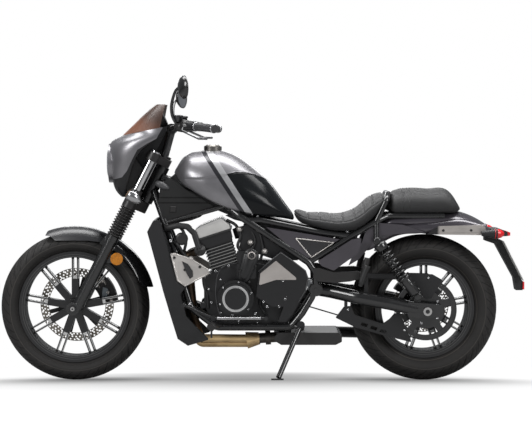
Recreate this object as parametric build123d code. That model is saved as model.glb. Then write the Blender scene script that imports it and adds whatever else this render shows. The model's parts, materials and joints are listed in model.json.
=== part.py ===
"""Cruiser motorcycle parked on its side stand: one STEP file for each sub-component.

Millimetres. While a piece is modelled the machine stands upright: X runs back from the
front wheel to the rear one, Y to the machine's right side, Z up from the floor.
`park` then leans every piece over onto the side stand.
"""
import math
import os

from build123d import *

# ---------------------------------------------------------------- driving sizes
WHEELBASE = 1490
FRONT_X = -799
REAR_X = FRONT_X + WHEELBASE
FRONT_R, FRONT_HALF, FRONT_BEAD_R, FRONT_BARREL_R = 317, 65, 229, 211
REAR_R, REAR_HALF, REAR_BEAD_R, REAR_BARREL_R = 313, 90, 203, 184
FRONT_RIM_HALF, REAR_RIM_HALF = 46, 65
FIT = 0.3                 # play at a curved seat between two fixed pieces
RUN = 0.05                # play round a turning shaft
LEAN = 8                  # degrees, to the left, on the side stand
SHIFT_X, SHIFT_Y = 0, 153  # from the upright machine's floor point to the parked origin

# fork and steering head
RAKE = math.radians(26.9)
FORK_TOP = Vector(-457, 0, 961)
FORK_Y, FORK_TUBE_R, SLIDER_R, GAITER_R = 100, 19.5, 25, 31
STEM_BACK, STEM_R, HEAD_R = 50, 14, 30
TOP_CLAMP = (-15, 22)     # stations down the fork leg
LOW_CLAMP = (160, 244)
GAITER_END = 378
FRONT_AXLE_S, FRONT_AXLE_AHEAD = 729, 13.5
AXLE_R, REAR_AXLE_R = 8.5, 10

# frame tubes
TUBE_R, RAIL_R = 15, 12.5
FRAME_Y = 130

# brake discs and final drive
FRONT_DISC_R, FRONT_DISC_IN, FRONT_DISC_Y, DISC_T = 158, 122, 58, 5
REAR_DISC_R, REAR_DISC_IN, REAR_DISC_Y = 120, 88, 98
PULLEY_R, PULLEY_Y, BELT_W, BELT_T = 126, -95.5, 18, 4
FRONT_PULLEY_X, FRONT_PULLEY_Z, FRONT_PULLEY_R = 110, 400, 44
SWING_Y, SWING_R = 155, 28
SWING_IN = SWING_Y - SWING_R

# side stand
STAND_PIVOT = Vector(161, -165, 250)
STAND_SPLAY, STAND_REACH, STAND_R = 31, 22, 11
STAND_FOLD = 112

DOWN = Vector(-math.sin(RAKE), 0, -math.cos(RAKE))
AHEAD = Vector(-math.cos(RAKE), 0, math.sin(RAKE))
CROWN_R = 114
LIFT = CROWN_R * (1 - math.cos(math.radians(LEAN)))
PARKED = Location((SHIFT_X, SHIFT_Y, LIFT)) * Location((0, 0, 0), (LEAN, 0, 0))


# ---------------------------------------------------------------- shape helpers
def fork(s, ahead=0, y=0):
    """A point s down the fork legs from their tops, `ahead` in front of them."""
    return FORK_TOP + DOWN * s + AHEAD * ahead + Vector(0, y, 0)


def outline(points, y=0, rounding=0):
    """A flat face at y through the (x, z) points, its corners rounded."""
    face = Face(Wire.make_polygon([Vector(x, y, z) for x, z in points]))
    return face.fillet_2d(rounding, face.vertices()) if rounding else face


def plate(points, y0, y1, rounding=0):
    """The (x, z) outline made solid from y0 to y1."""
    return Solid.extrude(outline(points, y0, rounding), Vector(0, y1 - y0, 0))


def box(x0, x1, y0, y1, z0, z1):
    return Solid.make_box(x1 - x0, y1 - y0, z1 - z0, Plane((x0, y0, z0)))


def rod(a, b, r, end_r=None):
    """A round bar from a to b, or a cone where end_r is given."""
    a, b = Vector(*a), Vector(*b)
    plane = Plane(a, z_dir=b - a)
    if end_r is None:
        return Solid.make_cylinder(r, (b - a).length, plane)
    return Solid.make_cone(r, end_r, (b - a).length, plane)


def cross(x, z, r, y0, y1):
    """A round bar across the machine."""
    return rod((x, y0, z), (x, y1, z), r)


def tube(points, r, bend=40):
    """A round tube through the points, bent at each inner one."""
    points = [Vector(*p) for p in points]
    if len(points) == 2:
        return rod(points[0], points[1], r)
    path = FilletPolyline(*points, radius=bend)
    return sweep(Plane(path @ 0, z_dir=path % 0) * Circle(r), path=path).solid()


def turned(profile, at, along):
    """The closed (distance, radius) outline turned about the line from `at`."""
    plane = Plane(at, z_dir=Vector(*along))
    corners = [plane.from_local_coords(Vector(r, 0, d)) for d, r in profile]
    face = Face(Wire.make_polygon(corners))
    return Solid.revolve(face, 360, Axis(plane.origin, plane.z_dir))


def wheel_turned(edges, x, z, angle=360):
    """Edges drawn as (radius, y) above the axle, turned about it."""
    face = Face(Wire(edges)).moved(Location((x, 0, z)))
    return Solid.revolve(face, angle, Axis((x, 0, z), (0, 1, 0)))


def radial(points):
    """A closed chain of edges through (radius, y) points; a triple is an arc's middle."""
    edges, start = [], points[0]
    todo = list(points[1:]) + [points[0]]
    while todo:
        end = todo.pop(0)
        if len(end) == 3:
            middle, end = end, todo.pop(0)
            edges.append(ThreePointArc((0, start[1], start[0]), (0, middle[1], middle[0]),
                                       (0, end[1], end[0])))
        else:
            edges.append(Line((0, start[1], start[0]), (0, end[1], end[0])))
        start = end
    return edges


def skin(rings, ruled=False):
    return Solid.make_loft([Wire(r) for r in rings], ruled)


def mirrored(*solids):
    return [s.mirror(Plane.XZ) for s in solids]


def both(*solids):
    """The pieces and their twins on the other side."""
    return list(solids) + mirrored(*solids)


def fuse(*solids):
    whole = solids[0]
    for s in solids[1:]:
        whole = whole + s
    return whole


def cut(body, *tools):
    for tool in tools:
        body = body - tool
    return body


nodes = {}


def park(name, *solids):
    """Leans the upright pieces onto the side stand and keeps them under the node's name."""
    found = []
    for s in solids:
        found += list(s.solids())
    nodes[name] = [s.moved(PARKED) for s in found]
    return found


# ---------------------------------------------------------------- wheels
def tyre(x, r, half, bead, bead_half):
    shoulder = (r - 0.41 * half, 0.93 * half)
    wall = (bead + 0.42 * (r - bead), half, 0)
    seat, edge = (bead + 9, bead_half), (bead + 16, bead_half + 12)
    left = lambda p: (p[0], -p[1]) + tuple(p[2:])
    profile = [(bead + FIT, bead_half), seat, edge, wall, shoulder, (r, 0, 0), left(shoulder),
               left(wall), left(edge), left(seat), (bead + FIT, -bead_half)]
    return wheel_turned(radial(profile), x, r)


def rim(x, z, bead, barrel, half, hub, hub_y, bore, spoke_y):
    """A cast wheel: barrel with two flanges, hub, and nine spokes that fork in two."""
    lip = bead + 8
    ring = [(barrel, -half), (lip, -half), (lip, -half + 6), (bead, -half + 8),
            (bead, half - 8), (lip, half - 6), (lip, half), (barrel, half)]
    left, right = hub_y
    core = [(bore, left), (hub, left), (hub, right), (bore, right)]
    whole = fuse(wheel_turned(radial(ring), x, z), wheel_turned(radial(core), x, z))
    fork_r = 0.62 * barrel
    root, width, gap = 15, 8, 11
    middle = (left + right) / 2
    for k in range(9):
        turn = Location((x, 0, z)) * Location((0, 0, 0), (0, 40 * k, 0))
        stem = Solid.extrude(Face(Wire.make_polygon(
            [Vector(-root, middle - spoke_y, hub - 6), Vector(root, middle - spoke_y, hub - 6),
             Vector(gap + width / 2, middle - spoke_y, fork_r),
             Vector(-gap - width / 2, middle - spoke_y, fork_r)])), Vector(0, 2 * spoke_y, 0))
        whole = whole + stem.moved(turn)
        for side in (-1, 1):
            tine = box(side * gap - width / 2, side * gap + width / 2,
                       middle - spoke_y + 3, middle + spoke_y - 3, fork_r - 16, barrel + 4)
            whole = whole + tine.moved(turn)
    return whole


def disc(x, z, r, inner, y, bore, arms=6):
    """A drilled brake disc on a spider."""
    t = DISC_T
    ring = wheel_turned(radial([(inner, y), (r, y), (r, y + t), (inner, y + t)]), x, z)
    hub = wheel_turned(radial([(bore, y), (bore + 22, y), (bore + 22, y + t), (bore, y + t)]), x, z)
    whole = fuse(ring, hub)
    for k in range(arms):
        arm = box(-9, 9, y, y + t, bore + 16, inner + 4)
        whole = whole + arm.moved(Location((x, 0, z), (0, 360 / arms * k + 15, 0)))
    holes = []
    for k in range(3 * arms):
        for row, step in ((inner + 10, 0), (r - 10, 10)):
            a = math.radians(360 / (3 * arms) * k + step)
            holes.append(cross(x + row * math.cos(a), z + row * math.sin(a), 4, y - 1, y + t + 1))
    return whole - Compound(holes)


park("front_tyre", tyre(FRONT_X, FRONT_R, FRONT_HALF, FRONT_BEAD_R, FRONT_RIM_HALF - 8 - FIT))
park("front_rim", rim(FRONT_X, FRONT_R, FRONT_BEAD_R, FRONT_BARREL_R, FRONT_RIM_HALF, 36,
                      (-FRONT_DISC_Y, FRONT_DISC_Y), AXLE_R + RUN, 20))
park("front_disc", disc(FRONT_X, FRONT_R, FRONT_DISC_R, FRONT_DISC_IN, FRONT_DISC_Y, 20))
park("rear_tyre", tyre(REAR_X, REAR_R, REAR_HALF, REAR_BEAD_R, REAR_RIM_HALF - 8 - FIT))
park("rear_rim", rim(REAR_X, REAR_R, REAR_BEAD_R, REAR_BARREL_R, REAR_RIM_HALF, 42,
                     (PULLEY_Y, REAR_DISC_Y), REAR_AXLE_R + RUN, 26))
park("rear_disc", disc(REAR_X, REAR_R, REAR_DISC_R, REAR_DISC_IN, REAR_DISC_Y, 20))

pulley_out = PULLEY_Y - BELT_W
pulley = wheel_turned(radial([(PULLEY_R - 18, PULLEY_Y), (PULLEY_R, PULLEY_Y),
                              (PULLEY_R, pulley_out), (PULLEY_R - 18, pulley_out)]),
                      REAR_X, REAR_R)
pulley = pulley + wheel_turned(radial([(20, PULLEY_Y), (80, PULLEY_Y), (80, PULLEY_Y - 14),
                                       (20, PULLEY_Y - 14)]), REAR_X, REAR_R)
for k in range(5):
    pulley = pulley + box(-14, 14, PULLEY_Y - 14, PULLEY_Y, 76, PULLEY_R - 14).moved(
        Location((REAR_X, 0, REAR_R), (0, 72 * k, 0)))
park("rear_pulley", pulley)

# the belt runs straight between the two pulleys and wraps round each
gap_x, gap_z = FRONT_PULLEY_X - REAR_X, FRONT_PULLEY_Z - REAR_R
reach = math.hypot(gap_x, gap_z)
slope = math.atan2(gap_z, gap_x)


def belt_loop(extra):
    """The side outline of the belt, `extra` outside the pulleys' rims."""
    big, small = PULLEY_R + extra, FRONT_PULLEY_R + extra
    lean = math.acos((big - small) / reach)
    edges = []
    tips = []
    for x, z, r, middle in ((REAR_X, REAR_R, big, slope + math.pi),
                            (FRONT_PULLEY_X, FRONT_PULLEY_Z, small, slope)):
        tips.append([Vector(x + r * math.cos(a), PULLEY_Y, z + r * math.sin(a))
                     for a in (slope + lean, middle, slope - lean)])
    edges.append(ThreePointArc(*tips[0]))
    edges.append(Line(tips[0][2], tips[1][2]))
    edges.append(ThreePointArc(*reversed(tips[1])))
    edges.append(Line(tips[1][0], tips[0][0]))
    return Face(Wire(edges))


belt_in = Vector(0, -BELT_W, 0)
belt = Solid.extrude(belt_loop(BELT_T + FIT), belt_in) - Solid.extrude(belt_loop(FIT), belt_in)
park("drive_belt", belt)

# ---------------------------------------------------------------- fork and steering
legs = []
for s0, s1, r in ((TOP_CLAMP[0] - 6, GAITER_END, FORK_TUBE_R),):
    legs += both(rod(fork(s0, 0, FORK_Y), fork(s1, 0, FORK_Y), r))
park("fork_tubes", *legs)

bellows, pitch = [], (GAITER_END - LOW_CLAMP[1]) / 9
for k in range(9):
    bellows += [(k * pitch, GAITER_R - 5), (k * pitch + 0.3 * pitch, GAITER_R),
                (k * pitch + 0.7 * pitch, GAITER_R)]
length = GAITER_END - LOW_CLAMP[1]
profile = [(0, FORK_TUBE_R + FIT)] + bellows + [(length, GAITER_R - 5), (length, FORK_TUBE_R + FIT)]
park("fork_gaiters", *both(turned(profile, fork(LOW_CLAMP[1], 0, FORK_Y), DOWN)))

axle = Vector(FRONT_X, 0, FRONT_R)


LUG_Y = (74, 126)


def slider(y):
    inner, outer = math.copysign(LUG_Y[0], y), math.copysign(LUG_Y[1], y)
    leg = rod(fork(GAITER_END, 0, y), fork(FRONT_AXLE_S - 6, 0, y), SLIDER_R)
    cap = rod(fork(GAITER_END, 0, y), fork(GAITER_END + 22, 0, y), SLIDER_R + 3)
    lug = cross(FRONT_X, FRONT_R, 27, inner, outer)
    return leg + cap + lug


def arc_block(x, z, r0, r1, y0, y1, start, sweep_angle):
    """A block bent round the axle, from `start` degrees above the rearward direction."""
    face = Face(Wire(radial([(r0, y0), (r1, y0), (r1, y1), (r0, y1)])))
    block = Solid.revolve(face, sweep_angle, Axis((0, 0, 0), (0, -1, 0)))
    return block.moved(Location((x, 0, z), (0, 90 - start, 0)))


CALIPER_Y = (42, 90)
lug = arc_block(FRONT_X, FRONT_R, 118, 168, CALIPER_Y[1], CALIPER_Y[1] + 10, 22, 36)
axle_hole = cross(FRONT_X, FRONT_R, AXLE_R + RUN, -140, 140)
REFLECTOR = (-614, 527)
disc_y = FORK_Y + 4
tab = plate([(-680, 515), (-640, 508), (-606, 515), (-606, 540), (-650, 548), (-675, 540)],
            FORK_Y - 3, disc_y)
left_slider = cut(slider(-FORK_Y) + mirrored(tab)[0], axle_hole)
right_slider = cut(fuse(slider(FORK_Y), lug, tab), axle_hole)
park("fork_sliders", left_slider, right_slider)

caliper = arc_block(FRONT_X, FRONT_R, 104, 176, *CALIPER_Y, 6, 36)
slot = cross(FRONT_X, FRONT_R, FRONT_DISC_R + 6, FRONT_DISC_Y - 4, FRONT_DISC_Y + DISC_T + 4)
park("front_caliper", caliper - slot)

spacer_y = FRONT_DISC_Y + 0.1
pin = cross(FRONT_X, FRONT_R, AXLE_R, -LUG_Y[1], LUG_Y[1])
ends = [cross(FRONT_X, FRONT_R, 15, s * LUG_Y[1], s * (LUG_Y[1] + 8)) for s in (-1, 1)]
spacers = [cross(FRONT_X, FRONT_R, 14, s * spacer_y, s * LUG_Y[0]) for s in (-1, 1)]
park("front_axle", fuse(pin, *ends, *spacers))


CLAMP_NARROW = 34         # half the width of a clamp's web at the stem


def clamp(s0, s1, web0, web1, back):
    """A fork clamp: a collar round each leg and a web that narrows back to the stem."""
    collars = both(rod(fork(s0, 0, FORK_Y), fork(s1, 0, FORK_Y), FORK_TUBE_R + 9))
    corners = [(16, FORK_Y), (-8, FORK_Y), (-back, CLAMP_NARROW), (-back, -CLAMP_NARROW),
               (-8, -FORK_Y), (16, -FORK_Y)]
    face = Face(Wire.make_polygon([fork(web0, ahead, y) for ahead, y in corners]))
    return fuse(Solid.extrude(face, DOWN * (web1 - web0)), *collars)


bores = both(rod(fork(-30, 0, FORK_Y), fork(260, 0, FORK_Y), FORK_TUBE_R + RUN))
stem = rod(fork(TOP_CLAMP[1] - 2, -STEM_BACK), fork(LOW_CLAMP[1] - 40, -STEM_BACK), STEM_R)
nut = rod(fork(TOP_CLAMP[0] - 6, -STEM_BACK), fork(TOP_CLAMP[0] + 6, -STEM_BACK), 17)
top = clamp(*TOP_CLAMP, TOP_CLAMP[0] + 4, TOP_CLAMP[1], STEM_BACK + 24)
low = clamp(*LOW_CLAMP, 196, 240, STEM_BACK + 22)
LAMP = Vector(-600, 0, 930)
LAMP_R = 84
arms = both(plate([(-545, 962), (-502, 905), (-528, 838), (-562, 800), (-592, 850), (-590, 940)],
                  LAMP_R + FIT, LAMP_R + 7))
park("triple_clamps", *[cut(p, *bores) for p in (fuse(top, nut, stem, low, *arms),)])

BAR_R = 11
bar_half = [(-385, 0, 1075), (-385, 110, 1075), (-335, 235, 1092), (-195, 400, 1075)]
half_bar = tube(bar_half, BAR_R, 50)
risers = []
for y in (-45, 45):
    risers.append(rod(fork(TOP_CLAMP[0] + 4, -38, y), (-388, y, 1062), 15))
    risers.append(rod((-385, y - 17, 1075), (-385, y + 17, 1075), 22))
park("handlebar", cut(fuse(half_bar, half_bar.mirror(Plane.XZ), *risers), top))

grip_end, grip_dir = Vector(-195, 400, 1075), (Vector(-195, 400, 1075) - Vector(-335, 235, 1092)).normalized()
on_grip = lambda back: grip_end - grip_dir * back
GRIP_LEN = 122
grip = rod(on_grip(-4), on_grip(GRIP_LEN), 17) - rod(on_grip(0), on_grip(GRIP_LEN + 1), BAR_R + RUN)
park("grips", *both(grip))
switch = rod(on_grip(GRIP_LEN), on_grip(GRIP_LEN + 48), 21)
switch = switch + rod(on_grip(GRIP_LEN + 24), on_grip(GRIP_LEN + 24) + Vector(-34, -8, -4), 12)
switch = switch - rod(on_grip(0), on_grip(GRIP_LEN + 60), BAR_R + RUN)
perch = on_grip(GRIP_LEN + 24) + Vector(-34, -8, -4)
lever = tube([perch, perch + Vector(-8, 20, -14), on_grip(30) + Vector(-44, -6, -42),
              on_grip(0) + Vector(-30, 8, -40)], 5, 18)
bar_space = rod(on_grip(0), on_grip(GRIP_LEN + 60), BAR_R + RUN)
park("switch_gear", *both(cut(fuse(switch, lever), bar_space)))

mirror_foot = on_grip(GRIP_LEN + 34) + Vector(0, 0, 21.3)
mirror_tip = Vector(-333, 330, 1252)
stalk = tube([mirror_foot, mirror_foot + Vector(-20, 6, 34), (-361, 300, 1199), mirror_tip], 5.5, 14)
stalk = stalk + rod(mirror_foot - Vector(0, 0, 2), mirror_foot + Vector(0, 0, 6), 9)
look = Vector(1, -0.16, 0.06).normalized()
centre = Vector(-322, 352, 1243)
stalk = cut(stalk, rod(on_grip(GRIP_LEN - 10), on_grip(GRIP_LEN + 60), 21 + FIT))
head = turned([(-22, 0), (-20, 18), (-13, 36), (-2, 48), (6, 50), (6, 46), (3, 46), (3, 0)],
              centre, look)
stalk = max(stalk.solids(), key=lambda s: s.volume)
park("mirrors", *both(fuse(stalk, head)))

# ---------------------------------------------------------------- fairing
WALL = 5


def shell_ring(z, front, rear, half, wall=WALL, flat=0.6):
    """A U-shaped band at height z: open to the rear, `front` its nose, `half` its width."""
    edges = []
    paths = []
    for inset in (0, wall):
        f, w = front + inset, half - inset
        corner = Vector(f + 0.14 * (rear - front), flat * half - inset, z)
        mid = Vector(f + 0.45 * (rear - front), w - 0.09 * half, z)
        paths.append((Vector(rear, w, z), mid, corner, Vector(f, 0, z)))
    (a, m, c, n), (a2, m2, c2, n2) = paths
    flip = lambda v: Vector(v.X, -v.Y, v.Z)
    return [ThreePointArc(a, m, c), ThreePointArc(c, n, flip(c)), ThreePointArc(flip(c), flip(m), flip(a)),
            Line(flip(a), flip(a2)), ThreePointArc(flip(a2), flip(m2), flip(c2)),
            ThreePointArc(flip(c2), n2, c2), ThreePointArc(c2, m2, a2), Line(a2, a)]


fairing_rings = [(787, -598, -576, 76), (829, -631, -572, 104), (872, -640, -560, 126),
                 (933, -650, -540, 142), (999, -652, -494, 150), (1041, -612, -430, 150),
                 (1090, -560, -400, 146)]
fairing = skin([shell_ring(*r) for r in fairing_rings])
brow = [(-700, 1030), (-606, 1044), (-416, 1082), (-380, 1090)]
above = plate(brow + [(-380, 1300), (-700, 1300)], -200, 200)
below = plate(brow + [(-380, 700), (-700, 700)], -200, 200)
fairing = cut(fairing, above, cross(LAMP.X, LAMP.Z, 1, -1, 1),
              rod((-700, 0, LAMP.Z), (-560, 0, LAMP.Z), LAMP_R + FIT))
park("fairing", fairing)
screen_rings = [(1020, -625, -450, 149, 4), (1100, -540, -425, 128, 4), (1150, -487, -415, 105, 4),
                (1178, -452, -408, 84, 4)]
screen = cut(skin([shell_ring(*r) for r in screen_rings]), below)
park("windscreen", screen)
bucket = turned([(0, 0), (0, 70), (18, LAMP_R), (86, LAMP_R), (86, 78), (80, 78), (80, 0)],
                (-566, 0, LAMP.Z), (-1, 0, 0))
park("headlamp", bucket)
park("headlamp_lens", turned([(80, 0), (80, 78 - FIT), (85, 78 - FIT), (93, 50), (96, 0)],
                             (-566, 0, LAMP.Z), (-1, 0, 0)))
pod = turned([(-22, 0), (-22, 30), (-14, 42), (16, 42), (16, 37), (13, 37), (13, 0)],
             (-432, 0, 1122), (0.9, 0, 0.42))
foot = plate([(-440, 1100), (-420, 1098), (-392, 1088), (-396, 1072), (-452, 1086)], -14, 14)
foot = cut(foot, cross(-385, 1075, BAR_R + FIT, -64, 64))
park("instrument", pod + foot)

# ---------------------------------------------------------------- front fender
FENDER_HALF = FORK_Y - SLIDER_R - FIT
out_r, in_r = 343, 339
fender_ring = [(286, -FENDER_HALF), (out_r, 0, 0), (286, FENDER_HALF), (286, FENDER_HALF - 4),
               (in_r, 0, 0), (286, 4 - FENDER_HALF)]
arch = wheel_turned(radial(fender_ring), FRONT_X, FRONT_R)
side = [(-922, 622), (-915, 640), (-866, 661), (-785, 664), (-699, 652), (-613, 604), (-569, 575),
        (-526, 534), (-480, 476), (-440, 396), (-510, 407), (-543, 472), (-596, 537), (-677, 594),
        (-737, 602), (-807, 602), (-877, 602), (-897, 618)]
hollow = wheel_turned(radial([(200, 4 - FENDER_HALF), (286, 4 - FENDER_HALF), (in_r, 0, 0),
                              (286, FENDER_HALF - 4), (200, FENDER_HALF - 4)]), FRONT_X, FRONT_R)
cap_room = both(rod(fork(GAITER_END - 20, 0, FORK_Y), fork(GAITER_END + 24, 0, FORK_Y), SLIDER_R + 3 + FIT))
stays = [cut(p, hollow, *cap_room) for p in
         both(plate([(-690, 590), (-640, 561), (-615, 585), (-665, 622)], 40, FENDER_HALF))]
fender = fuse(arch & plate(side, -FORK_Y, FORK_Y), *stays)
park("front_fender", max(fender.solids(), key=lambda s: s.volume))

park("front_reflectors", *both(cross(*REFLECTOR, 26, disc_y, disc_y + 9)))

signal = turned([(0, 0), (0, 9), (10, 12), (34, 24), (62, 26), (62, 22), (58, 22), (58, 0)],
                (-560, 132, 803), (0.8, 0.1, -0.59))
stem_f = rod(fork(200, 0, 124), (-545, 140, 792), 7)
signal = cut(signal + stem_f, rod(fork(150, 0, FORK_Y), fork(260, 0, FORK_Y), FORK_TUBE_R + 9 + FIT))
park("front_signals", *both(max(signal.solids(), key=lambda s: s.volume)))

# ---------------------------------------------------------------- frame
Y = FRAME_Y
runs = {
    "down": ([(-462, 28, 812), (-368, 95, 558), (-328, 100, 403), (-299, 108, 319),
              (-190, Y, 241), (120, Y, 241), (167, Y, 300), (207, Y, 366), (226, Y, 420),
              (223, Y, 473), (195, Y, 515), (-93, 116, 707), (-190, 60, 784), (-425, 26, 868)],
             TUBE_R, 34),
    "strut": ([(-410, 66, 676), (-150, 82, 752)], 11, 0),
    "seat rail": ([(-66, 117, 690), (-8, 114, 692), (242, 112, 640), (368, 114, 625)], RAIL_R, 60),
    "loop": ([(195, Y, 515), (375, 119, 624), (480, 112, 686), (530, 86, 708), (770, 86, 708)],
             RAIL_R, 40),
}
hoop = [(480, 112, 686), (524, 104, 779), (532, 60, 801), (532, -60, 801), (524, -104, 779),
        (480, -112, 686)]


def frame_tools(extra, names=runs):
    """The frame's tubes, `extra` thicker, to make a seat for a piece that touches them."""
    return [t for n in names for t in both(tube(runs[n][0], runs[n][1] + extra, runs[n][2]))]


head_tube = rod(fork(TOP_CLAMP[1] + 2, -STEM_BACK), fork(194, -STEM_BACK), HEAD_R)
SHOCK_DROP = ((480, 111, 684), (480, 124, 606))
pieces = frame_tools(0) + [tube(hoop, RAIL_R, 24), head_tube]
for x, z, r, half in ((-196, 238, 10, Y - 4), (110, 241, 11, Y), (214, 490, 11, Y), (-20, 692, 9, 114),
                      (368, 625, 9, 114), (700, 708, 9, 86)):
    pieces.append(cross(x, z, r, -half, half))
for x, z in ((-385, 605), (-306, 340)):
    pieces += both(cross(x, z, 8, 95, 128 + FIT))
pieces += both(cross(-345, 470, 8, 95, 148))
PIVOT, BOSS_IN = (225, 399), 113
pieces += both(cross(*PIVOT, 26, BOSS_IN, 147))
pieces += both(rod(*SHOCK_DROP, 12))
pieces += both(cross(480, 606, 9, 118, 186))
fold_axis = Vector(0, -math.cos(math.radians(STAND_SPLAY)), math.sin(math.radians(STAND_SPLAY)))
pin_at = lambda d: STAND_PIVOT + fold_axis * d
pieces += [rod(pin_at(-20), pin_at(16), 7), rod(pin_at(12), pin_at(16), 12),
           rod(pin_at(-22), pin_at(-12), 16),
           tube([pin_at(-20), (135, -132, 246)], 9)]
frame = fuse(*pieces)
stem_space = rod(fork(0, -STEM_BACK), fork(240, -STEM_BACK), STEM_R + RUN)
pivot_hole = cross(*PIVOT, 9 + RUN, -160, 160)
frame = cut(frame, stem_space, pivot_hole)
park("frame", frame)

# ---------------------------------------------------------------- side stand
splay = math.radians(STAND_SPLAY)
ahead = math.radians(STAND_REACH)
stand_dir = Vector(-math.sin(ahead), -math.sin(splay) * math.cos(ahead),
                   -math.cos(splay) * math.cos(ahead))
lean = math.radians(LEAN)
# the leg is as long as reaches the floor of the leaning machine
fall = STAND_PIVOT.Z * math.cos(lean) + STAND_PIVOT.Y * math.sin(lean) + LIFT
leg_len = fall / -(stand_dir.Z * math.cos(lean) + stand_dir.Y * math.sin(lean))
foot_at = STAND_PIVOT + stand_dir * leg_len
up = Vector(0, math.sin(lean), math.cos(lean))
FOOT_T = 7
eye = rod(pin_at(-11.5), pin_at(11.5), 17)
leg = rod(STAND_PIVOT + stand_dir * 6, foot_at + stand_dir * -12, STAND_R)
pad = Solid.make_cylinder(26, FOOT_T, Plane(foot_at, z_dir=up))
stand = cut(fuse(leg, eye, pad), rod(pin_at(-30), pin_at(30), 7 + RUN))
park("side_stand", stand)

# ---------------------------------------------------------------- swingarm and rear suspension
ARM = [(225, 80, 399), (290, 86, 388), (400, 143, 368), (530, SWING_Y, 345),
       (650, SWING_Y, 320)]
arm = tube(ARM, SWING_R, 60)
fork_end = plate([(610, 293), (650, 284), (752, 288), (760, 312), (752, 340), (650, 348), (610, 352)],
                 SWING_IN + 6, SWING_Y + 22, 6)
arms = both(fuse(arm, fork_end))
pivot = cross(*PIVOT, 30, -BOSS_IN, BOSS_IN) + cross(*PIVOT, 9, -152, 152)
shock_lug = both(cross(651, 374, 9, SWING_Y - 16, SWING_Y + 32),
                 plate([(634, 335), (668, 335), (662, 378), (640, 378)], SWING_Y - 18, SWING_Y - 8))
hanger = arc_block(REAR_X, REAR_R, 22, 118, SWING_IN - 3, SWING_IN + 14, 108, 34)
axle_bore = cross(REAR_X, REAR_R, REAR_AXLE_R + RUN, -220, 220)
tyre_room = cross(REAR_X, REAR_R, REAR_R + 8, -REAR_HALF - 6, REAR_HALF + 6)
swingarm = cut(fuse(pivot, *arms, *shock_lug, hanger), axle_bore, tyre_room)
park("swingarm", swingarm)
axle_pieces = [cross(REAR_X, REAR_R, REAR_AXLE_R, -190, 190)]
for s in (-1, 1):
    axle_pieces.append(cross(REAR_X, REAR_R, 18, s * (SWING_Y + 22), s * 192))
axle_pieces += [cross(REAR_X, REAR_R, 16, PULLEY_Y - 0.1, -SWING_IN - 6),
                cross(REAR_X, REAR_R, 16, REAR_DISC_Y + 0.1, SWING_IN + 6)]
park("rear_axle", fuse(*axle_pieces))

top_eye, low_eye = Vector(480, 165, 606), Vector(651, 165, 374)
shock_dir = (low_eye - top_eye).normalized()
shock_len = (low_eye - top_eye).length
sp = lambda d: top_eye + shock_dir * d
shock = [cross(480, 606, 16, 152, 180), cross(651, 374, 16, 152, 180),
         rod(sp(10), sp(46), 27), rod(sp(40), sp(shock_len - 90), 9),
         rod(sp(shock_len - 96), sp(shock_len - 12), 23),
         rod(sp(shock_len - 104), sp(shock_len - 96), 28)]
coil_from, coil_to, turns = 46, shock_len - 104, 8
for k in range(turns):
    d = coil_from + (k + 0.5) * (coil_to - coil_from) / turns
    ring = Solid.make_torus(22, 4, Plane(sp(d), z_dir=shock_dir))
    web = rod(sp(d - 1.5), sp(d + 1.5), 20)
    shock += [ring, web]
shock = cut(fuse(*shock), *[cross(x, z, 9 + RUN, 140, 190) for x, z in ((480, 606), (651, 374))])
park("rear_shocks", *both(shock))

rear_caliper = arc_block(REAR_X, REAR_R, 74, 138, 84, SWING_IN - 3, 100, 50)
slot = cross(REAR_X, REAR_R, REAR_DISC_R + 6, REAR_DISC_Y - 4, REAR_DISC_Y + DISC_T + 4)
park("rear_caliper", rear_caliper - slot)

# ---------------------------------------------------------------- tank
SECTIONS = [  # x, low edge, top, half width
    (-372, 868, 912, 56), (-330, 836, 962, 104), (-262, 794, 981, 138), (-190, 757, 987, 147),
    (-118, 731, 966, 147), (-43, 714, 917, 138), (34, 704, 846, 120), (90, 697, 770, 98),
    (134, 688, 708, 72)]


def tank_ring(x, low, top, half):
    """A crowned cross-section: flat floor, bulged sides, arched top."""
    tall = top - low
    foot, waist, crown = 0.86 * half, 0.38, 0.78
    a, b = Vector(x, foot, low), Vector(x, half, low + waist * tall)
    c = Vector(x, 0.66 * half, low + crown * tall)
    flip = lambda v: Vector(v.X, -v.Y, v.Z)
    return [Line(flip(a), a), ThreePointArc(a, b, c),
            ThreePointArc(c, Vector(x, 0, top), flip(c)), ThreePointArc(flip(c), flip(b), flip(a))]


tank = skin([tank_ring(*s) for s in SECTIONS])
tunnel = plate([(-400, 700), (-400, 890), (-190, 862), (-60, 760), (-60, 690)], -64, 64)
seat_for_tank = frame_tools(FIT, ["down", "strut", "seat rail"])
cap_at, CAP_R = Vector(-211, 0, 979), 38
well = rod(cap_at, cap_at + Vector(0, 0, 60), CAP_R + FIT)
park("tank", cut(tank, tunnel, well, *seat_for_tank))
park("tank_cap", turned([(0, 0), (0, CAP_R), (22, CAP_R), (27, CAP_R - 8), (30, 0)], cap_at, (0, 0, 1)))

# ---------------------------------------------------------------- seats
def pad_ring(x, low, top, half, edge):
    """A cushion's cross-section: flat pan, rounded shoulders, gently crowned top."""
    a, b = Vector(x, half - edge, low), Vector(x, half, low + 0.45 * (top - low))
    c = Vector(x, half - 0.9 * edge, top - 0.2 * (top - low))
    flip = lambda v: Vector(v.X, -v.Y, v.Z)
    return [Line(flip(a), a), ThreePointArc(a, b, c),
            ThreePointArc(c, Vector(x, 0, top), flip(c)), ThreePointArc(flip(c), flip(b), flip(a))]


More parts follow.
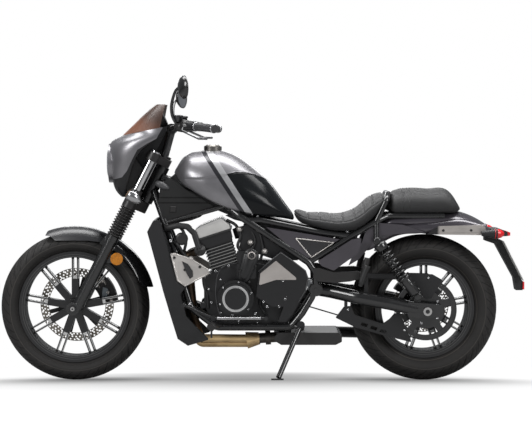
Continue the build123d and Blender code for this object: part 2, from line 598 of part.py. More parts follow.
rider_rings = [(140, 690, 742, 62, 12), (190, 668, 722, 96, 18), (250, 655, 721, 128, 24),
               (324, 645, 715, 150, 28), (400, 655, 742, 152, 30), (455, 690, 788, 140, 30),
               (505, 740, 803, 112, 26), (524, 770, 798, 92, 14)]
rider = skin([pad_ring(*r) for r in rider_rings])
hoop_room = tube(hoop, RAIL_R + FIT, 24)
rider = cut(rider, hoop_room, *frame_tools(FIT, ["seat rail", "loop"]))
park("rider_seat", max(rider.solids(), key=lambda s: s.volume))
pillion_rings = [(548, 719, 784, 84, 14), (590, 719, 816, 108, 24), (660, 719, 823, 114, 26),
                 (750, 719, 820, 112, 26), (805, 719, 807, 100, 24), (842, 719, 745, 72, 10)]
pillion = cut(skin([pad_ring(*r) for r in pillion_rings]), hoop_room, *frame_tools(FIT, ["loop"]))
park("pillion_seat", max(pillion.solids(), key=lambda s: s.volume))

# ---------------------------------------------------------------- rear fender and tail
fender_rings = [(440, 560, 668, 76), (520, 600, 690, 84), (600, 630, 692, 92), (700, 632, 693, 112),
                (800, 632, 716, 116), (860, 632, 712, 114), (945, 640, 672, 98)]
fender = skin([tank_ring(*r) for r in fender_rings])
tyre_space = cross(REAR_X, REAR_R, REAR_R + 10, -REAR_HALF - 7, REAR_HALF + 7)
fender = cut(fender, tyre_space, *frame_tools(FIT, ["loop"]),
             cross(700, 708, 9 + FIT, -100, 100), box(540, 843, -200, 200, 719 - FIT, 800))
park("rear_fender", max(fender.solids(), key=lambda s: s.volume))
STRUT = [(691, 632), (741, 667), (928, 672), (940, 660), (940, 636), (928, 629)]
strut = cut(plate(STRUT, 90, 124), fender)
STRUT_PLATE = [(744, 640), (760, 656), (915, 660), (915, 641)]
strut = max(strut.solids(), key=lambda s: s.volume) + plate(STRUT_PLATE, 123, 127, 3)
park("fender_struts", *both(strut))
lamp_body = plate([(930, 655), (1010, 652), (1040, 640), (1040, 622), (960, 617), (930, 628)], -70, 70)
rear_signal = turned([(0, 0), (0, 10), (65, 23), (65, 19), (61, 19), (61, 0)], (917, 168, 638), (1, 0, 0))
rear_signal = rear_signal + cross(926, 640, 7, 124, 162)
park("rear_signals", *both(rear_signal))
bracket = plate([(950, 620), (990, 619), (1020, 600), (1104, 436), (1112, 428), (1112, 388), (1084, 388),
                 (1075, 440), (995, 585), (950, 600)], -32, 32)
slope_dir = Vector(1104 - 1020, 0, 436 - 600).normalized()
bracket = cut(lamp_body + bracket, fender)
park("tail_lamp", max(bracket.solids(), key=lambda s: s.volume))
plate_plane = Plane((1062 + FIT, 0, 518), x_dir=(0, 1, 0), z_dir=Vector(-slope_dir.Z, 0, slope_dir.X))
sheet = Solid.make_box(200, 186, 2, Plane((-100, -93, 0))).moved(plate_plane.location)
holes = [rod(plate_plane.from_local_coords(Vector(x, y, -3)),
             plate_plane.from_local_coords(Vector(x, y, 6)), 3) for x in (-80, 80) for y in (-70, 70)]
park("number_plate", cut(sheet, *holes))
park("tail_lenses", plate([(1040, 640), (1052, 637), (1052, 624), (1040, 622)], -68, 68),
     plate([(1112, 424), (1118, 424), (1118, 392), (1112, 392)], -40, 40))

# ---------------------------------------------------------------- engine
ENGINE_TILT = math.radians(18)
ENGINE_O = Vector(-202.5, 0, 627.5)
e1 = Vector(math.cos(ENGINE_TILT), 0, math.sin(ENGINE_TILT))
e2 = Vector(-math.sin(ENGINE_TILT), 0, math.cos(ENGINE_TILT))


def on_engine(points):
    """(along, up) points of the tilted cylinders as (x, z) points of the machine."""
    return [((ENGINE_O + e1 * a + e2 * b).X, (ENGINE_O + e1 * a + e2 * b).Z) for a, b in points]


HEAD_HALF = 118
cover = plate(on_engine([(-72, 0), (-74, 44), (-40, 54), (49, 60), (73, 24), (72, 0)]),
              -HEAD_HALF, HEAD_HALF, 6)
cover = cover + plate(on_engine([(-76, 0), (-76, 7), (76, 7), (76, 0)]), -HEAD_HALF - 4, HEAD_HALF + 4)
park("head_cover", cover)
barrel = [plate(on_engine([(-68, 0), (68, 0), (64, -42), (-64, -42)]), -HEAD_HALF + 2, HEAD_HALF - 2),
          plate(on_engine([(-48, -42), (48, -42), (48, -152), (-48, -152)]), -106, 106)]
FINS, FIN_PITCH = 8, 13
for k in range(FINS):
    b = -50 - k * FIN_PITCH
    barrel.append(plate(on_engine([(-60, b), (60, b), (60, b - 4), (-60, b - 4)]), -114, 114))
base = on_engine([(-66, -144), (66, -144), (66, -166), (-66, -166)])
barrel.append(plate(base, -110, 110))
park("cylinders", fuse(*barrel))
CASE_HALF = 108
case = [(-246, 440), (-224, 462), (-94, 503), (-60, 520), (60, 508), (150, 478), (186, 440), (160, 330),
        (112, 262), (40, 230), (-140, 230), (-212, 272), (-246, 330)]
crank = plate(case, -CASE_HALF, CASE_HALF, 8) - plate(base, -130, 130)
crank = crank + both(plate([(-108, 562), (-26, 562), (-26, 446), (-108, 446)], 66, 138, 10))[1]
lugs = both(cross(-120, 246, 13, 100, 128), cross(56, 246, 13, 100, 128), cross(178, 352, 13, 100, 128),
            cross(-250, 330, 12, 60, 112))
crank = cut(fuse(crank, *lugs), plate(base, -130, 130), *frame_tools(FIT, ["down"]),
            *[plate(on_engine([(-62, -40), (62, -40), (62, -144), (-62, -144)]), -150, 150)])
ALT = (-112, 365)
left_face = -CASE_HALF
crank = cut(crank, cross(FRONT_PULLEY_X, FRONT_PULLEY_Z, FRONT_PULLEY_R + 10, -130, PULLEY_Y + 2),
            box(100, 240, -130, PULLEY_Y + 2, 300, 470))
crank = crank + cross(FRONT_PULLEY_X, FRONT_PULLEY_Z, FRONT_PULLEY_R, PULLEY_Y - BELT_W, PULLEY_Y + 3)
park("crankcase", max(crank.solids(), key=lambda s: s.volume))
alt = cross(*ALT, 76, -166, left_face)
alt = alt + cross(*ALT, 63, -181, -160) - cross(*ALT, 52, -190, -176)
alt = alt + cross(*ALT, 46, -179, -170)
SIDE = [(-14, 472), (78, 562), (183, 481), (195, 447), (183, 393), (128, 300), (99, 266), (66, 266),
        (90, 330), (40, 330), (-26, 372)]
side_left = plate(SIDE, -152, -128, 4)
side_post = fuse(cross(30, 440, 12, -130, left_face), cross(70, 500, 12, -130, left_face))
side_left = cut(side_left + side_post, *frame_tools(FIT, ["down"]), cross(*ALT, 76 + FIT, -200, 0))
INSERT = [(-8, 470), (57, 523), (137, 456), (145, 443), (57, 443), (-14, 420)]
side_left = max(side_left.solids(), key=lambda s: s.volume) + plate(INSERT, -155, -151, 4)
clutch = fuse(cross(40, 395, 92, CASE_HALF, 150), cross(40, 395, 70, 150, 158),
              cross(*ALT, 70, CASE_HALF, 150), cross(*ALT, 46, 150, 156))
clutch = cut(clutch, *frame_tools(FIT, ["down"]))
park("engine_covers", alt, side_left, max(clutch.solids(), key=lambda s: s.volume))
airbox = plate([(-80, 668), (-100, 560), (-20, 548), (60, 520), (150, 520), (200, 600), (200, 640),
                (-10, 678)], -92, 92, 6)
airbox = cut(airbox, crank, *frame_tools(FIT, ["down", "seat rail"]), cross(-20, 692, 9 + FIT, -120, 120),
             plate(on_engine([(-80, 80), (80, 80), (80, -146), (-80, -146)]), -150, 150))
park("airbox", max(airbox.solids(), key=lambda s: s.volume))

# ---------------------------------------------------------------- radiator
RAD_FRONT = [(-455, 668), (-425, 672), (-398, 560), (-352, 400), (-325, 306), (-355, 300), (-383, 392),
             (-428, 556)]
radiator = plate(RAD_FRONT, -128, 128)
radiator = cut(radiator, *frame_tools(FIT, ["down"]))
park("radiator", max(radiator.solids(), key=lambda s: s.volume))
SHROUD = [(-483, 644), (-458, 690), (-430, 693), (-404, 604), (-387, 525), (-359, 433), (-325, 409),
          (-344, 381), (-320, 289), (-276, 241), (-224, 190), (-313, 164), (-356, 193), (-387, 294),
          (-416, 392), (-451, 525)]
shroud = both(plate(SHROUD, 128 + FIT, 148, 4))
nose = [(-483, 644), (-458, 690), (-451, 690), (-472, 642), (-441, 525), (-406, 392), (-378, 294),
        (-348, 200), (-322, 178), (-313, 164), (-356, 193), (-387, 294),
        (-416, 392), (-451, 525)]
face = plate(nose, -140, 140)
window = box(-520, -360, -100, 100, 330, 630)
slats = [box(-470, -365, -101, 101, z, z + 4) & plate(nose, -140, 140) for z in range(355, 625, 24)]
face = fuse(face - window, *slats)
park("radiator_shroud", fuse(face, *shroud))
SILVER = [(-386, 553), (-369, 556), (-294, 531), (-227, 489), (-221, 468), (-323, 414), (-357, 437)]
flank = cut(plate(SILVER, 148, 154, 4), plate([(-352, 520), (-275, 492), (-262, 478), (-330, 446), (-350, 460)],
                                              151, 160, 3))
park("shroud_plates", *both(flank))
hose = tube([(-266, -124, 572), (-287, -118, 637), (-316, -112, 664), (-360, -108, 668), (-410, -100, 655)], 13, 16)
hose = cut(hose, plate(RAD_FRONT, -128 - FIT, 128 + FIT), *frame_tools(FIT, ["down", "strut"]),
           plate(on_engine([(-80, -44), (80, -44), (80, 62), (-80, 62)]), -HEAD_HALF - 4 - FIT, 0))
park("coolant_hose", max(hose.solids(), key=lambda s: s.volume))

# ---------------------------------------------------------------- exhaust
header_1 = tube([(-262, -48, 560), (-318, -48, 540), (-296, -52, 300), (-262, -72, 188), (-60, -72, 186)],
                17, 26)
header_2 = tube([(-262, 48, 560), (-318, 48, 540), (-296, 44, 280), (-270, -24, 160), (-60, -40, 162)],
                17, 26)
ports = plate(on_engine([(-69, 70), (200, 70), (200, -400), (-69, -400)]), -200, 200)
pipes = [cut(header_1, ports), cut(header_2, ports)]
collector = fuse(rod((-66, -56, 176), (-12, -56, 185), 36, 26), rod((-14, -56, 185), (60, -56, 190), 22))
exhaust = fuse(*[max(p.solids(), key=lambda s: s.volume) for p in pipes], collector)
muffler = plate([(52, 200), (70, 217), (320, 217), (336, 205), (336, 178), (310, 165), (80, 165), (52, 182)],
                -128, 128, 6)
bolts_up = fuse(*both(cross(110, 222, 8, 60, 61)))
tail = tube([(300, 120, 192), (400, 160, 185), (520, 178, 180)], 24, 60)
muffler = muffler + tail
exhaust = exhaust + rod((14, -56, 186.9), (36, -56, 188.4), 30)
park("exhaust_pipes", cut(exhaust, muffler))
hang = both(plate([(96, 217), (124, 217), (120, 236), (100, 236)], 96, 104))
park("muffler", cut(fuse(muffler, *hang), *frame_tools(FIT, ["down"]), cross(110, 241, 11 + FIT, -Y, Y)))

# ---------------------------------------------------------------- panels
INFILL = [(-432, 836), (-398, 868), (-362, 852), (-326, 820), (-259, 780), (-206, 748), (-263, 702),
          (-300, 688), (-388, 672), (-424, 700), (-440, 760)]
infill = plate(INFILL, 50, 73, 5)
grooves = [plate([(-470, z), (-200, z), (-200, z + 4), (-470, z + 4)], 71, 80) for z in (760, 782)]
infill = cut(infill, *frame_tools(FIT, ["down", "strut"]), *grooves,
             rod(fork(0, -STEM_BACK), fork(260, -STEM_BACK), HEAD_R + FIT))
front_panel = max(infill.solids(), key=lambda s: s.volume)
park("front_panels", *both(front_panel))
TRI = [(16, 663), (324, 612), (183, 525)]
tri = cut(plate(TRI, 106, 134), *frame_tools(FIT, ["down", "seat rail", "loop"]))
INSET = [(133, 618), (278, 598), (200, 550)]
tri = max(tri.solids(), key=lambda s: s.volume) + plate(INSET, 133, 137, 4)
POD = [(232, 520), (375, 612), (417, 619), (404, 556), (300, 481), (250, 500)]
pod_side = cut(plate(POD, 112, 146, 6), *frame_tools(FIT, ["down", "seat rail", "loop"]))
pod_side = max(pod_side.solids(), key=lambda s: s.volume)
BAND = [(439, 647), (452, 672), (494, 680), (594, 672), (687, 640), (586, 634), (506, 628), (469, 600),
        (431, 554), (406, 525), (364, 500), (380, 540), (420, 600)]
band = cut(plate(BAND, 100, 112), *frame_tools(FIT, ["loop", "seat rail"]), fender, tyre_space,
           rod(*SHOCK_DROP, 12 + FIT), cross(480, 606, 9 + FIT, 90, 130))
band = max(band.solids(), key=lambda s: s.volume)
park("side_panels", *both(tri, fuse(pod_side, band)))

# ---------------------------------------------------------------- belt guards
BELT_TOP = [(352, 455), (360, 470), (531, 464), (625, 468), (700, 466), (700, 454), (531, 452)]
FAN = [(352, 450), (360, 470), (531, 464), (625, 468), (717, 464), (759, 440), (713, 362), (688, 358),
       (640, 436), (531, 446)]
upper = plate(BELT_TOP, -122, PULLEY_Y + 1) + plate(FAN, -125, -121)
upper = upper + box(430, 446, -125, -118, 370, 460)
LOWER = [(308, 281), (343, 327), (373, 331), (389, 293), (507, 255), (536, 276), (557, 300), (583, 297),
         (631, 176), (532, 201), (394, 239)]
lower = plate(LOWER, -131, -125, 4)
for x, z in ((420, 262), (460, 248), (500, 234)):
    lower = lower - plate([(x, z), (x + 26, z - 9), (x + 20, z - 22), (x - 6, z - 13)], -140, -100)
arm_room = mirrored(tube(ARM, SWING_R + FIT, 60))[0]
guard_tie = rod((352, -128, 325), (352, -128, 352), 7)
park("belt_guards", cut(upper, arm_room), cut(lower + guard_tie, arm_room))

# ---------------------------------------------------------------- foot controls
PEG = (-210, 257)
peg_arm = rod((-178, 132, 250), (PEG[0], 196, PEG[1]), 12)
peg_arm = cut(peg_arm, *both(tube(runs["down"][0][2:7], TUBE_R + FIT, 34)))
peg_arm = max(peg_arm.solids(), key=lambda s: s.volume)
peg = plate([(-230, 257), (-210, 275), (-190, 257), (-210, 239)], 196, 298)
feeler = rod((PEG[0], 284, 240), (PEG[0], 284, 214), 4)
rider_rest = fuse(peg_arm, peg, feeler)
STEP = (-205, 284)        # where both foot levers turn
gear = fuse(tube([(-330, -186, 340), (*STEP[:1], -186, STEP[1]), (15, -186, STEP[1])], 6, 20),
            cross(-330, 342, 9, -232, -177), cross(15, STEP[1], 8, -195, -CASE_HALF))
pedal = fuse(rod((STEP[0], 186, STEP[1]), (-328, 186, 332), 7), cross(-328, 332, 9, 177, 226))
links = both(fuse(cross(*STEP, 11, 177, 196), rod((STEP[0], 187, 282), (STEP[0], 178, 262), 5)))
peg_room = both(rod((-178, 132, 250), (PEG[0], 196, PEG[1]), 12 + FIT))
gear, pedal = cut(gear + links[1], *peg_room), cut(pedal + links[0], *peg_room)
HANGER = [(215, 492), (240, 492), (298, 474), (400, 478), (440, 470), (436, 452), (368, 436), (306, 430),
          (236, 436), (214, 450)]
hang_plate = cut(plate(HANGER, 130, 154, 4), *frame_tools(FIT, ["down", "loop"]))
hang_plate = max(hang_plate.solids(), key=lambda s: s.volume)
pillion_rest = fuse(hang_plate, rod((424, 168, 466), (440, 168, 536), 13), cross(424, 466, 14, 153, 182))
park("footrests", *both(rider_rest, pillion_rest))
biggest = lambda p: max(p.solids(), key=lambda s: s.volume)
park("foot_levers", biggest(gear), biggest(pedal))

# ---------------------------------------------------------------- files
os.makedirs("parts", exist_ok=True)
for name, solids in nodes.items():
    whole = solids[0] if len(solids) == 1 else Compound(solids)
    whole.label = name
    export_step(whole, f"parts/{name}.step")
    size = whole.bounding_box()
    print(f"{name:20s} {len(solids)} solids {sum(s.volume for s in solids) / 1000:9.1f} cm3"
          f"  x {size.min.X:6.0f} {size.max.X:6.0f}  y {size.min.Y:6.0f} {size.max.Y:6.0f}"
          f"  z {size.min.Z:6.0f} {size.max.Z:6.0f}")
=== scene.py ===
# %% [markdown]
# # A cruiser motorcycle, dressed
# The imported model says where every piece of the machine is. This notebook gives each piece its
# finish, and makes anew the pieces whose real surface is softer or finer than a plain solid: the
# tyres with their tread, the creased tank, the stitched seats, gaiters, springs, lamps and bolts.

# %% The frame and its box
import json
import math

import bmesh
import bpy
import numpy as np
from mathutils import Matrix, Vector


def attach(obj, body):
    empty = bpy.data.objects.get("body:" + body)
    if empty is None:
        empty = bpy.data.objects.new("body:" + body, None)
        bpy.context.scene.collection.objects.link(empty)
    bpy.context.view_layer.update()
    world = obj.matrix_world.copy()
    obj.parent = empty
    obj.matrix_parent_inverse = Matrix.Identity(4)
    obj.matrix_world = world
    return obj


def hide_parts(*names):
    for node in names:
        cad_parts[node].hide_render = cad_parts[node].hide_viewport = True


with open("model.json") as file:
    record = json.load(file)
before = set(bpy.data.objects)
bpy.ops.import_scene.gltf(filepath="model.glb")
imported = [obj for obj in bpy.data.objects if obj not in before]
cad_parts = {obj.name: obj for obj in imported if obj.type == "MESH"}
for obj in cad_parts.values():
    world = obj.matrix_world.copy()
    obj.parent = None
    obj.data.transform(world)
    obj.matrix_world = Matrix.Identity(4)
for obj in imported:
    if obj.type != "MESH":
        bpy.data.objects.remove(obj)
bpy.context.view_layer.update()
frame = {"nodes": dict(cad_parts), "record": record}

# %% [markdown]
# ## Upright numbers, leaning machine
# The machine leans eight degrees onto its side stand. It is easier to think of it upright, in
# millimetres, so every new shape is drawn that way and one function leans it over. How far the
# wheels stand to the right of the origin is read from the front wheel's axle in the record.

# %% Upright to parked
LEAN = math.radians(8)
CROWN_R = 114                      # the tyre's crown, which rolls sideways as the machine leans
LIFT = CROWN_R * (1 - math.cos(LEAN))
FRONT_AXLE = np.array([-799.0, 0.0, 317.0])
REAR_AXLE = np.array([691.0, 0.0, 313.0])
joints = {j["name"]: j for j in frame["record"]["behaviour"]["joints"]}
SIDE_SHIFT = joints["front_wheel_spin"]["pos_m"][1] * 1000 + FRONT_AXLE[2] * math.sin(LEAN)
print("wheels stand", round(SIDE_SHIFT, 2), "mm to the right of the origin")


def parked(points):
    """Upright mm to parked m: y' = y cos - z sin + shift, z' = y sin + z cos + lift."""
    x, y, z = np.moveaxis(np.asarray(points, float), -1, 0)
    c, s = math.cos(LEAN), math.sin(LEAN)
    return np.stack([x, y * c - z * s + SIDE_SHIFT, y * s + z * c + LIFT], -1) / 1000


# %% [markdown]
# ## Surfaces from whole arrays
# A curved piece is a grid of points: rows one way, columns the other. One helper turns a grid into
# a mesh, joining its sides where the surface closes on itself and filling its ends.

# %% Grids become meshes
def add_mesh(name, points, faces, body, uv=None):
    """A smooth mesh object of parked points, riding on a body, its faces turned outwards."""
    mesh = bpy.data.meshes.new(name)
    mesh.from_pydata(points.reshape(-1, 3).tolist(), [], faces)
    if uv is not None:
        layer = mesh.uv_layers.new(name="surface")
        loops = np.empty(len(mesh.loops), np.int32)
        mesh.loops.foreach_get("vertex_index", loops)
        layer.data.foreach_set("uv", uv.reshape(-1, 2)[loops].ravel())
    shape = bmesh.new()
    shape.from_mesh(mesh)
    bmesh.ops.remove_doubles(shape, verts=shape.verts, dist=2e-6)
    bmesh.ops.recalc_face_normals(shape, faces=shape.faces)
    shape.to_mesh(mesh)
    shape.free()
    mesh.polygons.foreach_set("use_smooth", [True] * len(mesh.polygons))
    piece = bpy.data.objects.new(name, mesh)
    bpy.context.scene.collection.objects.link(piece)
    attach(piece, body)
    return piece


def grid_faces(rows, cols, close_rows=False, close_cols=True, caps=True, start=0):
    """Corner numbers of the cells of a grid whose points are numbered row by row."""
    i, j = np.meshgrid(np.arange(rows if close_rows else rows - 1),
                       np.arange(cols if close_cols else cols - 1), indexing="ij")
    k, m = (i + 1) % rows, (j + 1) % cols
    faces = (np.stack([i * cols + j, i * cols + m, k * cols + m, k * cols + j], -1) + start)
    faces = faces.reshape(-1, 4).tolist()
    if caps and not close_rows:
        ring = np.arange(cols) + start
        faces += [ring[::-1].tolist(), (ring + (rows - 1) * cols).tolist()]
    return faces


def surface(name, grid, body, slot, uv=None, **closed):
    """A piece from a (rows, cols, 3) grid of upright points."""
    return add_mesh(name, parked(grid), grid_faces(*grid.shape[:2], **closed), body, uv)


def joined(name, grids, body, slot, **closed):
    """Several grids as one piece."""
    faces, start = [], 0
    for g in grids:
        faces += grid_faces(*g.shape[:2], start=start, **closed)
        start += g.shape[0] * g.shape[1]
    points = np.concatenate([g.reshape(-1, 3) for g in grids])
    return add_mesh(name, parked(points), faces, body)


def around(axis):
    """Two unit directions square to an axis and to each other."""
    axis = np.asarray(axis, float) / np.linalg.norm(axis)
    helper = np.array([0.0, 1.0, 0.0]) if abs(axis[1]) < 0.9 else np.array([1.0, 0.0, 0.0])
    side = np.cross(axis, helper)
    side /= np.linalg.norm(side)
    return axis, side, np.cross(axis, side)


def lathe(profile, at, axis, cols=40):
    """A grid turned about a line: P = at + d axis + r (cos a side + sin a up)."""
    d, r = np.asarray(profile, float).T
    axis, side, up = around(axis)
    a = np.linspace(0, 2 * math.pi, cols, endpoint=False)[None, :, None]
    ring = np.cos(a) * side + np.sin(a) * up
    return np.asarray(at, float) + d[:, None, None] * axis + r[:, None, None] * ring


def pipe(path, radius, cols=12):
    """A grid carried along a path: P = path + r (cos a side + sin a up), square to the path."""
    path = np.asarray(path, float)
    along = np.gradient(path, axis=0)
    along /= np.linalg.norm(along, axis=1, keepdims=True)
    steady = np.array([0.31, 0.93, 0.2])
    side = np.cross(along, steady)
    side /= np.linalg.norm(side, axis=1, keepdims=True)
    up = np.cross(along, side)
    a = np.linspace(0, 2 * math.pi, cols, endpoint=False)[None, :, None]
    r = np.broadcast_to(np.asarray(radius, float), (len(path),))[:, None, None]
    return path[:, None] + r * (np.cos(a) * side[:, None] + np.sin(a) * up[:, None])


def curve(points, n=60):
    """A smooth line through the points: Catmull-Rom, n samples."""
    p = np.asarray(points, float)
    p = np.vstack([2 * p[0] - p[1], p, 2 * p[-1] - p[-2]])
    t = np.linspace(0, len(p) - 3 - 1e-9, n)
    k = t.astype(int)
    t = (t - k)[:, None]
    a, b, c, d = p[k], p[k + 1], p[k + 2], p[k + 3]
    return 0.5 * (2 * b + (c - a) * t + (2 * a - 5 * b + 4 * c - d) * t ** 2
                  + (3 * b - a - 3 * c + d) * t ** 3)


def bend(p, q, r, n):
    """A curved span for each row from p to r that passes q halfway; p, q and r are (rows, 2)."""
    t = np.linspace(0, 1, n, endpoint=False)[None, :, None]
    pull = 2 * q - (p + r) / 2
    p, pull, r = p[:, None], pull[:, None], r[:, None]
    return p * (1 - t) ** 2 + 2 * pull * t * (1 - t) + r * t ** 2


def rounded_step(x, low, high):
    """0 below low, 1 above high, smooth between: 3t^2 - 2t^3."""
    t = np.clip((x - low) / (high - low), 0, 1)
    return t * t * (3 - 2 * t)


def both_sides(grids):
    """The grids and their twins mirrored across the middle of the machine."""
    return grids + [g * np.array([1.0, -1.0, 1.0]) for g in grids]


# %% [markdown]
# ## Shader sums written as Python
# A material is a web of nodes. Wrapping a socket in a small class lets `noise * 0.2 + 0.4` add its
# own Math nodes, and one method adds any other node, so a finish reads as a short sum.

# %% Shader values
def maths(kind):
    """A method that feeds a value, and any others, to one Math node of this kind."""
    return lambda self, *others: self.op(kind, *others)


class Value:
    """The output of a node, usable in sums."""

    __add__ = __radd__ = maths("ADD")
    __mul__ = __rmul__ = maths("MULTIPLY")
    __sub__, __truediv__ = maths("SUBTRACT"), maths("DIVIDE")
    size, wave, fraction = maths("ABSOLUTE"), maths("SINE"), maths("FRACT")
    above, below = maths("GREATER_THAN"), maths("LESS_THAN")

    def __init__(self, finish, socket):
        self.finish, self.socket = finish, socket

    def __rsub__(self, other):
        return self * -1 + other

    def op(self, kind, *others):
        """A Math node fed by this value and the others."""
        return self.finish.node("Math", dict(enumerate((self,) + others)), operation=kind)

    def between(self, low, high):
        """1 from low to high, 0 elsewhere."""
        return self.above(low) * self.below(high)

    def step(self, low, high):
        """0 below low, 1 above high, smooth between."""
        return self.finish.node("MapRange", {"Value": self, "From Min": low, "From Max": high},
                                interpolation_type="SMOOTHSTEP")

    def chart(self, points):
        """Another quantity read off a line through (in, out) points."""
        first, last = points[0][0], points[-1][0]
        low, high = min(p[1] for p in points), max(p[1] for p in points)
        stops = [((a - first) / (last - first), ((b - low) / (high - low),) * 3) for a, b in points]
        ramp = self.finish.node("ValToRGB", {"Fac": (self - first) / (last - first)}, stops=stops)
        return ramp * (high - low) + low


class Finish:
    """One material: a Principled shader and the nodes that feed it."""

    def __init__(self, name, color, rough, metal=0.0, coat=0.0, **more):
        self.material = bpy.data.materials.new(name)
        self.material.use_nodes = True
        self.tree = self.material.node_tree
        self.shader = self.tree.nodes["Principled BSDF"]
        self.color, self.rough, self.metal = color, rough, metal
        self.set(Base_Color=color, Roughness=rough, Metallic=metal, Coat_Weight=coat, **more)
        self.place = self.node("TexCoord", out="Object")
        self.shapes = {}

    def set(self, **values):
        """Sets the shader's inputs, named with _ for each space."""
        for key, value in values.items():
            self.plug(self.shader.inputs[key.replace("_", " ")], value)

    def plug(self, port, value):
        """Feeds a port with a value, a colour or a number."""
        if isinstance(value, Value):
            self.tree.links.new(value.socket, port)
        elif isinstance(value, tuple) and len(value) == 3 and len(port.default_value) == 4:
            port.default_value = (*value, 1)
        else:
            port.default_value = value

    def node(self, kind, ports=None, out=0, stops=None, **settings):
        """Adds a node, feeds its ports and returns one of its outputs."""
        n = self.tree.nodes.new("ShaderNode" + kind)
        for key, value in settings.items():
            setattr(n, key, value)
        if stops:
            while len(n.color_ramp.elements) < len(stops):
                n.color_ramp.elements.new(0.5)
            for e, (at, shade) in zip(n.color_ramp.elements, stops):
                e.position, e.color = at, (*shade, 1)
        for key, value in (ports or {}).items():
            self.plug(n.inputs[key], value)
        return Value(self, n.outputs[out])

    def upright(self):
        """x, y and z of the upright machine in mm."""
        if not self.shapes:
            c, s = math.cos(LEAN), math.sin(LEAN)
            moved = self.node("VectorMath", {0: self.place, 1: (0, -SIDE_SHIFT / 1000, -LIFT / 1000)},
                              operation="ADD")
            for key, way in (("x", (1000, 0, 0)), ("y", (0, 1000 * c, 1000 * s)),
                             ("z", (0, -1000 * s, 1000 * c))):
                self.shapes[key] = self.node("VectorMath", {0: moved, 1: way}, out="Value",
                                             operation="DOT_PRODUCT")
        return self.shapes["x"], self.shapes["y"], self.shapes["z"]

    def polar(self, x0, z0):
        """Distance in mm from a line across the machine, and the angle round it."""
        x, _, z = self.upright()
        dx, dz = x - x0, z - z0
        return (dx * dx + dz * dz).op("SQRT"), dz.op("ARCTAN2", dx)

    def noise(self, scale, detail=3.0):
        """Soft noise about 1/scale m across, from 0 to 1."""
        return self.node("TexNoise", {"Vector": self.place, "Scale": scale, "Detail": detail})

    def cells(self, scale):
        """Distance to the nearest of many scattered points, about 1/scale m apart."""
        return self.node("TexVoronoi", {"Vector": self.place, "Scale": scale})

    def mixed(self, share, a, b):
        """Colour a with its share of colour b."""
        n = self.tree.nodes.new("ShaderNodeMix")
        n.data_type = "RGBA"
        for port, value in ((n.inputs[0], share), (n.inputs[6], a), (n.inputs[7], b)):
            self.plug(port, value)
        return Value(self, n.outputs[2])

    def relief(self, height, strength=0.4, depth=0.0001):
        """Fine height, in parts of depth, seen in the shading."""
        self.set(Normal=self.node("Bump", {"Height": height, "Strength": strength, "Distance": depth}))

    def paint(self, *coats):
        """Lays coats over the base, each (mask, colour, roughness, metal), and drifts them all."""
        color, rough, metal = self.color, self.rough, self.metal
        for mask, tint, gloss, metallic in coats:
            color = self.mixed(mask, color, tint)
            rough = mask * (gloss - rough) + rough
            metal = mask * (metallic - metal) + metal
        drift = self.noise(7.0, 4.0)
        shade = self.mixed(drift.step(0.3, 0.7) * 0.22, color, (0.0, 0.0, 0.0))
        self.set(Base_Color=shade, Roughness=(drift - 0.5) * 0.12 + rough)
        if coats:
            self.set(Metallic=metal)
        return self


def dress(finish, *names):
    """Gives CAD nodes or new pieces this finish."""
    for name in names:
        piece = frame["nodes"][name] if isinstance(name, str) else name
        piece.data.materials.clear()
        piece.data.materials.append(finish.material)


# %% [markdown]
# ## Paints, plastics, rubber and bare metal
# Powder coat and moulded plastic are never quite flat: a fine grain breaks the highlight, and
# handling varies the gloss over a few centimetres. One function makes such a surface from its
# colour, gloss and grain, and each real finish is a line that calls it.

# %% Plain finishes
def grained(name, color, rough, metal=0.0, coat=0.0, grain=1200.0, depth=0.00005, **more):
    """A surface with a grain of about 1000/grain mm, `depth` m deep, and a slow drift of tone."""
    f = Finish(name, color, rough, metal, coat, **more)
    f.relief(f.noise(grain, 2.0), 0.4, depth)
    return f


def plain(*args, **more):
    """A grained surface of one colour."""
    return grained(*args, **more).paint()


black_paint = plain("black_paint", (0.013, 0.013, 0.0135), 0.26, coat=0.5, grain=1500, depth=0.00003)
satin_black = plain("satin_black", (0.019, 0.018, 0.018), 0.4, grain=1500)
cast_black = plain("cast_black", (0.009, 0.009, 0.010), 0.46, grain=1100, depth=0.00012)
dark_plastic = plain("dark_plastic", (0.009, 0.009, 0.010), 0.5, grain=1400, depth=0.00007)
gloss_plastic = plain("gloss_plastic", (0.012, 0.012, 0.014), 0.12, coat=0.6, grain=300, depth=0.00001)
rubber = plain("rubber", (0.013, 0.013, 0.0135), 0.55, grain=1300, depth=0.00008)
alloy = plain("alloy", (0.66, 0.63, 0.60), 0.36, metal=0.65, grain=2000, depth=0.00003)
bright_steel = plain("bright_steel", (0.62, 0.62, 0.63), 0.16, metal=1.0, grain=400, depth=0.00001)
cap_steel = plain("cap_steel", (0.42, 0.40, 0.37), 0.28, metal=1.0, grain=1800, depth=0.00004)
plate_white = plain("plate_white", (0.72, 0.72, 0.70), 0.35, coat=0.3, grain=700, depth=0.00003)
violet_black = plain("violet_black", (0.070, 0.063, 0.075), 0.3, metal=0.5, coat=0.8, grain=2600,
                     depth=0.00001)
mirror_glass = plain("mirror_glass", (0.78, 0.8, 0.82), 0.03, metal=1.0, grain=60, depth=0.000002)

# %% [markdown]
# ## Two-tone bodywork
# The silver coat on the nose and tank is a metallic base under clear lacquer. Masks in upright
# millimetres cut it: a dark infill behind the nose's edge, a dark and a light stripe that slant
# down the tank, and a gloss black knee panel below the crease. Following the upright position, not
# the surface, keeps both sides alike.

# %% Silver with its dark parts
SILVER, COAT = (0.25, 0.245, 0.258), 0.45
FAIRING_LOW = 863.0                 # below this the nose is dark
GUARD_GLOSS = (-700.0, -680.0)      # where the mudguard turns from satin to gloss
